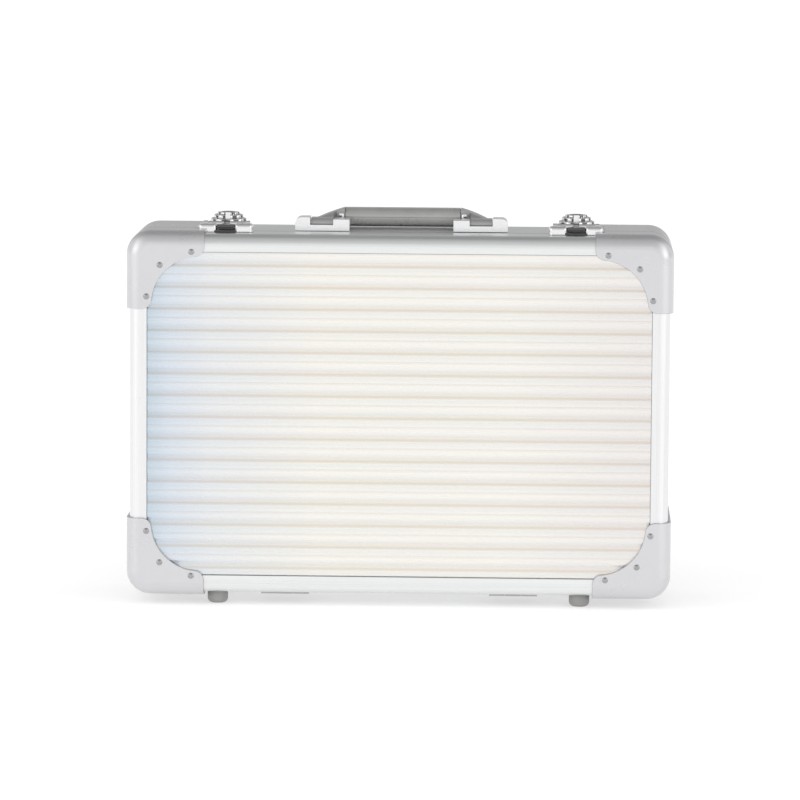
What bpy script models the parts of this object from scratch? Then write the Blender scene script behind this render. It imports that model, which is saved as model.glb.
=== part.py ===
"""Aluminium attache case: two ribbed shells, corner castings, handle, two key latches."""
import math

import bmesh
import bpy
from mathutils import Matrix, Vector

# ---- driving sizes, in metres ------------------------------------------------
WIDTH = 0.450              # over the corner castings, along X
HEIGHT = 0.3025            # over the corner castings, along Z
DEPTH = 0.120              # over the corner castings, along Y
LID_DEPTH = 0.040          # front shell, from its castings' faces to the seam
FIT = 0.0003               # gap left between neighbouring pieces
SEAM_GAP = 0.0008          # gap between the two shells

FOOT_HEIGHT = 0.0105       # floor to the rails' underside
FOOT_RADIUS = 0.0085
FOOT_PAD_RADIUS = 0.0045   # flat the foot stands on
FOOT_X = 0.150             # feet off the middle
FOOT_INSET = 0.020         # feet in from the front and back rail planes

RAIL_WALL = 0.0018         # side wall of the rail extrusion
RAIL_FLANGE = 0.015        # width of the flange over the panel's edge
RAIL_LIP = 0.0015          # thickness of the flange and of the lip behind the panel
RAIL_ROUND = 0.010         # outer edge rounding
RAIL_WEB = 0.006           # depth of the bottom of the panel's slot from the outside
RAIL_END = 0.018           # square ends of the rails, in from the outer planes

PANEL_SHEET = 0.0008       # sheet thickness
PANEL_RIB_HEIGHT = 0.0015
PANEL_PITCH = 0.0179       # rib to rib
PANEL_VALLEY = 0.0026      # flat bottom between two ribs
PANEL_SLOPE = 0.0030       # width of a rib's flank
PANEL_LINE_HALF = 0.0007   # half width of the fine groove along each rib
PANEL_LINE_DEPTH = 0.0005

CORNER_PROUD = 0.0025      # castings stand proud of the rails
CORNER_WALL = 0.0022
CORNER_LEG = 0.0645        # length of a casting's leg from its outer corner
CORNER_LEG_WIDTH = 0.021
CORNER_RADIUS = 0.020      # outer corner, seen from the front
CORNER_EDGE = 0.0125       # rounding from face to side
CORNER_HOLLOW = 0.039      # radius of the concave inner edge
CORNER_TIP_ROUND = 0.008
RIVET_RADIUS = 0.0025
RIVET_HEIGHT = 0.0012

LINER_THICK = 0.0025
RIM_THICK = 0.0018
RIM_PROUD = 0.004          # tongue past the seam into the lid
RIM_SEAT = 0.005           # tongue inside the body

GRIP_LENGTH = 0.096
GRIP_WIDTH = 0.022
GRIP_THICK = 0.0155
GRIP_LIFT = 0.0011         # folded grip above the rails
GRIP_REACH = 0.038         # pivot to the grip's middle
BASE_IN = 0.043            # inner end of a handle base, off the middle
BASE_LENGTH = 0.045
BASE_WIDTH = 0.020
BASE_TALL = 0.0116
BASE_SETBACK = 0.0011      # base's front face behind the seam edge of the body
BASE_END_ROUND = 0.005
BASE_FRONT_WALL = 0.0045
BASE_SILL = 0.0050          # front wall under the arm
BASE_INNER_TALL = 0.0096    # post nearest the grip
SLOT_IN = 0.0135           # slot's start from the base's inner end
SLOT_WIDTH = 0.019
SLOT_FLOOR = 0.0017
ARM_SIDE_GAP = 0.0005
ARM_FALL = 0.0083          # arm's top slopes down this much from the grip outwards
ARM_BARREL = 0.0042        # radius of the arm's eye
PIVOT_BACK = 0.010         # pivot behind the base's front face
PIVOT_RISE = 0.0058        # pivot above the base's underside
HANDLE_PIN = 0.0025
GRIP_RIVET = 0.0012        # shank radius
GRIP_RIVET_HEAD = 0.0024

LATCH_FROM_END = 0.0805    # latch's middle in from the case's end
LATCH_WIDTH = 0.045        # over the keeper's two wings
PLATE_WIDTH = 0.0385       # over the lever's two cheeks
PLATE_THICK = 0.0015
PLATE_LENGTH = 0.039
CHEEK_THICK = 0.0035
CHEEK_LENGTH = 0.0058
CHEEK_TALL = 0.0077
LATCH_AXIS_BACK = 0.003    # lever axis behind the plate's front edge
LATCH_AXIS_RISE = 0.0047   # lever axis above the plate's underside
TRUNNION = 0.0015
BARREL = 0.0026
DOME_RADIUS = 0.018
DOME_BACK = 0.0175         # dome's middle behind the lever axis
DOME_BASE = 0.0031         # height of the widest tier's straight side
TIER_RADII = (0.0152, 0.0124, 0.0092)
TIER_RISES = (0.0031, 0.0031, 0.0024)
TIER_SHOULDER = 0.0012
NOTCH_HALF = 0.0022        # slot in the lever for the hook
NOTCH_LENGTH = 0.0140
HOOK_HALF = 0.0017
HOOK_PIVOT_BACK = 0.0045   # hook's pin behind the lever axis
HOOK_PIVOT_DROP = 0.0006
HOOK_EYE = 0.0023
HOOK_PIN = 0.0010
HOOK_PIN_HALF = 0.0080
NOSE_HALF = 0.0070
NOSE_THICK = 0.0026
NOSE_LENGTH = 0.0060
NECK_FLARE = 0.0085
KEY_RADIUS = 0.0055
KEY_DEPTH = 0.0063
KEYWAY = 0.0009
KEEPER_GAP = 0.0020        # keeper's back edge in front of the seam
KEEPER_LENGTH = 0.0155
KEEPER_TALL = 0.0065
KEEPER_ROUND = 0.0024
KEEPER_END_ROUND = 0.0034
KEEPER_FLOOR = 0.0013
CHANNEL_HALF = 0.0080
KEEPER_LIP = 0.0019
LATCH_CLEAR = 0.0005       # castings' top legs are trimmed this far around a latch
TAB_OUT = 0.004            # finger tab past the dome

HINGE_X = 0.095
HINGE_LENGTH = 0.040
HINGE_MIDDLE = 0.0134      # length of the middle knuckle
HINGE_PIN = 0.0013
KNUCKLE_RADIUS = 0.0026
HINGE_DROP = 0.0031        # hinge axis below the rails
LEAF_THICK = 0.0014
LEAF_WIDTH = 0.014
LEAF_CLEAR = 0.0032        # leaf's near edge from the axis

# ---- sizes that follow -------------------------------------------------------
HALF_W = WIDTH / 2 - CORNER_PROUD
FLOOR_Z = FOOT_HEIGHT
TOP_Z = FOOT_HEIGHT + HEIGHT - 2 * CORNER_PROUD
MID_Z = (FLOOR_Z + TOP_Z) / 2
HALF_H = (TOP_Z - FLOOR_Z) / 2
FRONT_Y = -DEPTH / 2 + CORNER_PROUD
BACK_Y = DEPTH / 2 - CORNER_PROUD
SEAM_Y = -DEPTH / 2 + LID_DEPTH
LID_RUN = SEAM_Y - SEAM_GAP / 2 - FRONT_Y
BODY_RUN = BACK_Y - SEAM_Y - SEAM_GAP / 2
SLOT_NEAR = RAIL_LIP
SLOT_FAR = RAIL_LIP + PANEL_RIB_HEIGHT + PANEL_SHEET + 0.0001 + 2 * FIT
LIP_FAR = SLOT_FAR + RAIL_LIP
LATCH_X = WIDTH / 2 - LATCH_FROM_END
INNER_CORNER = CORNER_RADIUS - CORNER_WALL
PIVOT_Y = SEAM_Y + SEAM_GAP / 2 + BASE_SETBACK + PIVOT_BACK
PIVOT_Z = TOP_Z + FIT + PIVOT_RISE
PLATE_FRONT = SEAM_Y + SEAM_GAP / 2 + BASE_SETBACK
LEVER_Y = PLATE_FRONT + LATCH_AXIS_BACK
LEVER_Z = TOP_Z + FIT + LATCH_AXIS_RISE
HINGE_Z = FLOOR_Z - HINGE_DROP
UP = Vector((0, 0, 1))
SHELLS = {
    "lid": {"face": FRONT_Y, "inward": Vector((0, 1, 0)), "run": LID_RUN},
    "body": {"face": BACK_Y, "inward": Vector((0, -1, 0)), "run": BODY_RUN},
}
SIDES = {"left": -1, "right": 1}

for old in list(bpy.data.objects):
    bpy.data.objects.remove(old)
case = bpy.data.collections.new("attache_case")
cutters = bpy.data.collections.new("cutters")
bpy.context.scene.collection.children.link(case)
bpy.context.scene.collection.children.link(cutters)


# ---- materials ---------------------------------------------------------------
def material(name, colour, roughness, metallic):
    made = bpy.data.materials.new(name)
    made.use_nodes = True
    shader = made.node_tree.nodes["Principled BSDF"]
    shader.inputs["Base Color"].default_value = (*colour, 1)
    shader.inputs["Roughness"].default_value = roughness
    shader.inputs["Metallic"].default_value = metallic
    made.diffuse_color = (*colour, 1)
    return made


rail_metal = material("rail_aluminium", (0.84, 0.84, 0.84), 0.35, 1)
panel_metal = material("ribbed_aluminium", (0.82, 0.81, 0.79), 0.30, 1)
corner_metal = material("corner_aluminium", (0.76, 0.76, 0.78), 0.40, 1)
liner_cloth = material("lining_cloth", (0.05, 0.05, 0.055), 0.90, 0)
rim_metal = material("rim_aluminium", (0.70, 0.70, 0.71), 0.40, 1)
grip_plastic = material("grip_plastic", (0.30, 0.30, 0.29), 0.45, 0)
arm_metal = material("arm_metal", (0.45, 0.45, 0.44), 0.35, 1)
base_metal = material("base_silver", (0.75, 0.75, 0.76), 0.25, 1)
chrome = material("chrome", (0.80, 0.80, 0.81), 0.10, 1)
dark_steel = material("dark_steel", (0.12, 0.12, 0.12), 0.30, 1)
key_brass = material("lock_cylinder", (0.55, 0.52, 0.45), 0.30, 1)
hinge_steel = material("hinge_steel", (0.60, 0.60, 0.61), 0.30, 1)
foot_rubber = material("foot_rubber", (0.28, 0.28, 0.27), 0.70, 0)


# ---- tools -------------------------------------------------------------------
def add(name, bm, group, skin=None, angle=35):
    """Link a bmesh as a named object, smooth except at its sharp edges."""
    bmesh.ops.remove_doubles(bm, verts=bm.verts, dist=1e-6)
    bmesh.ops.recalc_face_normals(bm, faces=bm.faces)
    mesh = bpy.data.meshes.new(name)
    bm.to_mesh(mesh)
    bm.free()
    if len(mesh.polygons):
        mesh.shade_smooth()
        mesh.set_sharp_from_angle(angle=math.radians(angle))
    made = bpy.data.objects.new(name, mesh)
    group.objects.link(made)
    if skin:
        mesh.materials.append(skin)
    else:
        made.hide_render = True
        made.display_type = "WIRE"
    return made


def cube(x0, x1, y0, y1, z0, z1):
    bm = bmesh.new()
    middle = Vector(((x0 + x1) / 2, (y0 + y1) / 2, (z0 + z1) / 2))
    size = (abs(x1 - x0), abs(y1 - y0), abs(z1 - z0), 1)
    bmesh.ops.create_cube(bm, size=1, matrix=Matrix.Translation(middle) @ Matrix.Diagonal(size))
    return bm


def round_edges(bm, width, steps, wanted):
    chosen = [edge for edge in bm.edges if wanted(*(v.co for v in edge.verts))]
    bmesh.ops.bevel(bm, geom=chosen, offset=width, segments=steps, profile=0.5,
                    affect="EDGES", clamp_overlap=True, material=-1)


def rod(bm, radius, start, end, steps=16):
    """Cylinder between two points, added to bm."""
    start, end = Vector(start), Vector(end)
    turn = UP.rotation_difference(end - start).to_matrix().to_4x4()
    bmesh.ops.create_cone(bm, cap_ends=True, segments=steps, radius1=radius, radius2=radius,
                          depth=(end - start).length, matrix=Matrix.Translation((start + end) / 2) @ turn)
    return bm


def arc(cx, cy, radius, first, last, steps):
    points = []
    for i in range(steps + 1):
        angle = math.radians(first + (last - first) * i / steps)
        points.append((cx + radius * math.cos(angle), cy + radius * math.sin(angle)))
    return points


def flat(name, points, thickness, x_axis, y_axis, origin, group, skin=None):
    """Solid of a flat outline: its own X and Y lie along the two given axes."""
    curve = bpy.data.curves.new(name, "CURVE")
    curve.dimensions = "2D"
    curve.fill_mode = "BOTH"
    curve.extrude = thickness / 2
    spline = curve.splines.new("POLY")
    spline.points.add(len(points) - 1)
    for point, (x, y) in zip(spline.points, points):
        point.co = (x, y, 0, 1)
    spline.use_cyclic_u = True
    guide = bpy.data.objects.new(name + "_outline", curve)
    case.objects.link(guide)
    x_axis, y_axis = Vector(x_axis), Vector(y_axis)
    z_axis = x_axis.cross(y_axis)
    frame = Matrix((x_axis, y_axis, z_axis)).transposed().to_4x4()
    guide.matrix_world = Matrix.Translation(origin) @ frame
    bpy.context.view_layer.update()
    found = guide.evaluated_get(bpy.context.evaluated_depsgraph_get())
    mesh = bpy.data.meshes.new_from_object(found)
    bm = bmesh.new()
    bm.from_mesh(mesh)
    bpy.data.meshes.remove(mesh)
    place = guide.matrix_world.copy()
    bpy.data.objects.remove(guide)
    made = add(name, bm, group, skin)
    made.matrix_world = place
    return made


def turned(name, profile, steps, place, group, skin):
    """Turned solid about Z from (radius, height) points, top to bottom."""
    bm = bmesh.new()
    verts = [bm.verts.new((radius, 0, height)) for radius, height in profile]
    for first, second in zip(verts, verts[1:]):
        bm.edges.new((first, second))
    mesh = bpy.data.meshes.new(name)
    bm.to_mesh(mesh)
    bm.free()
    mesh.materials.append(skin)
    made = bpy.data.objects.new(name, mesh)
    group.objects.link(made)
    made.location = place
    screw = made.modifiers.new("turn", "SCREW")
    screw.steps = steps
    screw.render_steps = steps
    screw.use_merge_vertices = True
    screw.merge_threshold = 0.00001
    screw.use_smooth_shade = True
    return made


def combine(target, other, operation):
    step = target.modifiers.new(operation.lower(), "BOOLEAN")
    step.operation = operation
    step.solver = "EXACT"
    step.object = other
    return target


def axis_empty(name, place):
    made = bpy.data.objects.new(name, None)
    made.location = place
    made.empty_display_size = 0.02
    case.objects.link(made)
    bpy.context.view_layer.update()
    return made


def carry(empty, *pieces):
    """Parent pieces to the empty on their joint's axis, where they lie."""
    bpy.context.view_layer.update()
    for piece in pieces:
        place = piece.matrix_world.copy()
        piece.parent = empty
        piece.matrix_parent_inverse = empty.matrix_world.inverted()
        piece.matrix_world = place


def shell_y(shell, depth):
    return shell["face"] + shell["inward"].y * depth


# ---- shells ------------------------------------------------------------------
def rail_profile(run):
    """Rail section: X inward from the outside, Y from the face towards the seam."""
    points = [(0, run)]
    points += arc(RAIL_ROUND, RAIL_ROUND, RAIL_ROUND, 180, 270, 6)
    points += [(RAIL_FLANGE, 0), (RAIL_FLANGE, SLOT_NEAR), (RAIL_WEB, SLOT_NEAR),
               (RAIL_WEB, SLOT_FAR), (RAIL_FLANGE, SLOT_FAR), (RAIL_FLANGE, LIP_FAR),
               (RAIL_WALL, LIP_FAR), (RAIL_WALL, run)]
    return points


def corner_block(name, shell, inset, edge, corner, reach):
    """Rounded block as deep as a shell, all its faces moved in by inset."""
    near = shell_y(shell, inset)
    far = shell_y(shell, reach)
    bm = cube(-HALF_W + inset, HALF_W - inset, min(near, far), max(near, far),
              FLOOR_Z + inset, TOP_Z - inset)
    round_edges(bm, corner, 8, lambda a, b: abs(a.y - b.y) > 0.001)
    if edge:
        round_edges(bm, edge, 5, lambda a, b: abs(a.y - near) < 1e-5 and abs(b.y - near) < 1e-5)
    return bm


def corner_outline():
    """Casting seen from the front: X and Y in from its outer corner."""
    tip = (CORNER_LEG - CORNER_TIP_ROUND, CORNER_LEG_WIDTH - CORNER_TIP_ROUND + 0.00017)
    pull = CORNER_HOLLOW + CORNER_TIP_ROUND
    middle = CORNER_LEG_WIDTH + CORNER_HOLLOW
    across = tip[0] + math.sqrt(max(0.0, pull ** 2 - (middle - tip[1]) ** 2))
    lean = math.degrees(math.atan2(middle - tip[1], across - tip[0]))
    points = [(-0.006, -0.006), (CORNER_LEG, -0.006)]
    points += arc(tip[0], tip[1], CORNER_TIP_ROUND, 0, lean, 5)
    points += arc(across, middle, CORNER_HOLLOW, 180 + lean, 225, 7)
    return points + [(y, x) for x, y in reversed(points)][1:]


def rib_depth(z):
    """Panel surface below the ribs' tops at a height off the panel's middle."""
    z = abs(z) % PANEL_PITCH
    z = min(z, PANEL_PITCH - z)
    crest = PANEL_PITCH / 2 - PANEL_LINE_HALF
    foot = PANEL_VALLEY / 2
    if z <= foot:
        return PANEL_RIB_HEIGHT
    if z < foot + PANEL_SLOPE:
        return PANEL_RIB_HEIGHT * (1 - (z - foot) / PANEL_SLOPE)
    return max(0.0, (z - crest) / PANEL_LINE_HALF) * PANEL_LINE_DEPTH


def panel(name, shell, skin):
    """Ribbed sheet: one long edge drawn across the ribs, extruded to the other side."""
    edge = RAIL_WEB + FIT
    half_w = HALF_W - edge
    half_h = HALF_H - edge
    corner = INNER_CORNER - edge - FIT
    heights = {-half_h, half_h}
    for z in (round(half_h - corner * (1 - math.cos(math.radians(a))), 6) for a in (30, 50, 70, 90)):
        heights |= {z, -z}
    breaks = (0, PANEL_VALLEY / 2, PANEL_VALLEY / 2 + PANEL_SLOPE, PANEL_PITCH / 2 - PANEL_LINE_HALF)
    count = int(half_h / PANEL_PITCH) + 1
    for k in range(-count, count + 1):
        for step in breaks[1:]:
            heights |= {round(k * PANEL_PITCH + step, 6), round(k * PANEL_PITCH - step, 6)}
        heights.add(round((k + 0.5) * PANEL_PITCH, 6))
    heights = sorted(z for z in heights if abs(z) <= half_h)
    bm = bmesh.new()
    chain = []
    for z in heights:
        past = max(0.0, abs(z) - (half_h - corner))
        x = half_w - corner + math.sqrt(max(0.0, corner ** 2 - past ** 2))
        y = shell_y(shell, SLOT_NEAR + FIT + rib_depth(z))
        chain.append(bm.verts.new((-x, y, MID_Z + z)))
    edges = [bm.edges.new(pair) for pair in zip(chain, chain[1:])]
    grown = bmesh.ops.extrude_edge_only(bm, edges=edges)["geom"]
    for vert in (item for item in grown if isinstance(item, bmesh.types.BMVert)):
        vert.co.x = -vert.co.x
    bmesh.ops.recalc_face_normals(bm, faces=bm.faces)
    bm.faces.ensure_lookup_table()
    bm.normal_update()
    if bm.faces[0].normal.y * shell["inward"].y > 0:
        bmesh.ops.reverse_faces(bm, faces=bm.faces)
    mesh = bpy.data.meshes.new(name)
    bm.to_mesh(mesh)
    bm.free()
    mesh.materials.append(skin)
    made = bpy.data.objects.new(name, mesh)
    case.objects.link(made)
    sheet = made.modifiers.new("sheet", "SOLIDIFY")
    sheet.thickness = PANEL_SHEET
    sheet.offset = -1
    return made


def liner(name, shell, near, far, thickness, skin, floor=True):
    """Tray or ring inside the rails, its walls between two depths."""
    edge = RAIL_WALL + FIT
    y_near, y_far = shell_y(shell, near), shell_y(shell, far)
    bm = cube(-HALF_W + edge, HALF_W - edge, min(y_near, y_far), max(y_near, y_far),
              FLOOR_Z + edge, TOP_Z - edge)
    round_edges(bm, INNER_CORNER - edge - FIT, 8, lambda a, b: abs(a.y - b.y) > 0.001)
    drop = [f for f in bm.faces if abs(f.calc_center_median().y - y_far) < 1e-6
            or (not floor and abs(f.calc_center_median().y - y_near) < 1e-6)]
    bmesh.ops.delete(bm, geom=drop, context="FACES")
    mesh_object = add(name, bm, case, skin)
    wall = mesh_object.modifiers.new("wall", "SOLIDIFY")
    wall.thickness = thickness
    wall.offset = -1
    wall.use_even_offset = True
    return mesh_object


parts = {"lid": [], "body": []}
centre = Vector((0, 0, MID_Z))
RAILS = {
    "top": (Vector((0, 0, -1)), HALF_H, HALF_W),
    "bottom": (Vector((0, 0, 1)), HALF_H, HALF_W),
    "left": (Vector((1, 0, 0)), HALF_W, HALF_H),
    "right": (Vector((-1, 0, 0)), HALF_W, HALF_H),
}
outline = corner_outline()
corner_shapes = {}
for across, sx in SIDES.items():
    for level, sz in (("top", 1), ("bottom", -1)):
        origin = Vector((sx * WIDTH / 2, 0, MID_Z + sz * HEIGHT / 2))
        corner_shapes[level + "_" + across] = flat(
            "outline_" + level + "_" + across, outline, DEPTH * 1.2,
            (-sx, 0, 0), (0, 0, -sz), origin, cutters)

latch_room = {}
room = max(LATCH_WIDTH, PLATE_WIDTH) / 2 + LATCH_CLEAR
for across, sx in SIDES.items():
    latch_room[sx] = add("latch_room_" + across,
                         cube(sx * LATCH_X - room, sx * LATCH_X + room,
                              SEAM_Y - KEEPER_GAP - KEEPER_LENGTH - LATCH_CLEAR,
                              LEVER_Y + DOME_BACK + DOME_RADIUS + TAB_OUT + LATCH_CLEAR,
                              TOP_Z - 0.001, TOP_Z + 0.02), cutters)

for label, shell in SHELLS.items():
    for where, (inward, off, along) in RAILS.items():
        origin = centre - inward * off
        origin.y = shell["face"]
        parts[label].append(flat(
            label + "_rail_" + where, rail_profile(shell["run"]), 2 * (along - RAIL_END),
            inward, shell["inward"], origin, case, rail_metal))
    parts[label].append(panel(label + "_panel", shell, panel_metal))

    # the castings' hollow: the shell itself, with the panel's field left proud of it
    hollow = add(label + "_hollow",
                 corner_block(label, shell, -FIT, RAIL_ROUND + FIT, INNER_CORNER, shell["run"] + 0.01),
                 cutters)
    field = RAIL_FLANGE + FIT
    y0, y1 = shell_y(shell, -0.004), shell_y(shell, SLOT_NEAR)
    step = add(label + "_field", cube(-HALF_W + field, HALF_W - field, min(y0, y1), max(y0, y1),
                                      FLOOR_Z + field, TOP_Z - field), cutters)
    combine(hollow, step, "DIFFERENCE")
    for where, shape in corner_shapes.items():
        sz = 1 if where.startswith("top") else -1
        sx = -1 if where.endswith("left") else 1
        casting = add(label + "_corner_" + where,
                      corner_block(label, shell, -CORNER_PROUD, CORNER_EDGE, CORNER_RADIUS,
                                   shell["run"]), case, corner_metal)
        combine(casting, shape, "INTERSECT")
        combine(casting, hollow, "DIFFERENCE")
        if sz > 0:
            combine(casting, latch_room[sx], "DIFFERENCE")
        heads = bmesh.new()
        near_tip = CORNER_LEG - 0.0105
        for u, v in ((near_tip, 0.017), (0.028, 0.028), (0.017, near_tip)):
            spot = Vector((sx * (WIDTH / 2 - u), 0, MID_Z + sz * (HEIGHT / 2 - v)))
            start, end = spot.copy(), spot.copy()
            start.y = shell_y(shell, -CORNER_PROUD + CORNER_WALL / 2)
            end.y = shell_y(shell, -CORNER_PROUD - RIVET_HEIGHT)
            rod(heads, RIVET_RADIUS, start, end, 12)
        tip_y = shell_y(shell, -CORNER_PROUD - RIVET_HEIGHT)
        round_edges(heads, RIVET_HEIGHT * 0.85, 2,
                    lambda a, b: abs(a.y - tip_y) < 1e-6 and abs(b.y - tip_y) < 1e-6)
        rivets = add(label + "_rivets_" + where, heads, cutters)
        combine(casting, rivets, "UNION")
        parts[label].append(casting)

rim_depth = BODY_RUN + SEAM_GAP / 2
body_liner = liner("body_liner", SHELLS["body"], LIP_FAR + FIT, rim_depth - RIM_SEAT - FIT,
                   LINER_THICK, liner_cloth)
body_rim = liner("body_rim", SHELLS["body"], rim_depth - RIM_SEAT, rim_depth + RIM_PROUD,
                 RIM_THICK, rim_metal, floor=False)
lid_liner = liner("lid_liner", SHELLS["lid"], LIP_FAR + FIT, LID_RUN + SEAM_GAP / 2 - RIM_PROUD - FIT,
                  LINER_THICK, liner_cloth)
parts["body"] += [body_liner, body_rim]
parts["lid"].append(lid_liner)


# ---- feet --------------------------------------------------------------------
def foot(name, x, y):
    top = FOOT_HEIGHT - FIT
    bend = FOOT_RADIUS - FOOT_PAD_RADIUS
    profile = [(0, top), (FOOT_RADIUS, top)]
    profile += [(FOOT_PAD_RADIUS + bend * math.cos(math.radians(a)), bend * (1 - math.sin(math.radians(a))))
                for a in (0, 22.5, 45, 67.5, 90)]
    return turned(name, profile + [(0, 0)], 20, (x, y, 0), case, foot_rubber)


for across, sx in SIDES.items():
    parts["lid"].append(foot("foot_front_" + across, sx * FOOT_X, FRONT_Y + FOOT_INSET))
    parts["body"].append(foot("foot_back_" + across, sx * FOOT_X, BACK_Y - FOOT_INSET))


# ---- hinges ------------------------------------------------------------------
for across, sx in SIDES.items():
    x = sx * HINGE_X
    half, mid = HINGE_LENGTH / 2, HINGE_MIDDLE / 2
    bore = add("hinge_bore_" + across,
               rod(bmesh.new(), HINGE_PIN + FIT, (x - half - 0.001, SEAM_Y, HINGE_Z),
                   (x + half + 0.001, SEAM_Y, HINGE_Z)), cutters)
    leaf_top = FLOOR_Z - FIT
    for owner, sy, spans in (("lid", -1, ((-half, -mid - FIT), (mid + FIT, half))),
                             ("body", 1, ((-mid, mid),))):
        y0, y1 = SEAM_Y + sy * LEAF_CLEAR, SEAM_Y + sy * (LEAF_CLEAR + LEAF_WIDTH)
        leaf = add("hinge_leaf_" + owner + "_" + across,
                   cube(x - half, x + half, min(y0, y1), max(y0, y1), leaf_top - LEAF_THICK, leaf_top),
                   case, hinge_steel)
        for k, (a, b) in enumerate(spans):
            tab_y = SEAM_Y + sy * (LEAF_CLEAR + 0.002)
            tab = add("hinge_tab_%s_%s_%d" % (owner, across, k),
                      cube(x + a, x + b, min(SEAM_Y, tab_y), max(SEAM_Y, tab_y),
                           leaf_top - LEAF_THICK, leaf_top), cutters)
            combine(leaf, tab, "UNION")
            knuckle = add("hinge_knuckle_%s_%s_%d" % (owner, across, k),
                          rod(bmesh.new(), KNUCKLE_RADIUS, (x + a, SEAM_Y, HINGE_Z),
                              (x + b, SEAM_Y, HINGE_Z), 20), cutters)
            combine(leaf, knuckle, "UNION")
        combine(leaf, bore, "DIFFERENCE")
        parts[owner].append(leaf)
    parts["body"].append(add("hinge_pin_" + across,
                             rod(bmesh.new(), HINGE_PIN, (x - half, SEAM_Y, HINGE_Z),
                                 (x + half, SEAM_Y, HINGE_Z)), case, hinge_steel))

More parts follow.
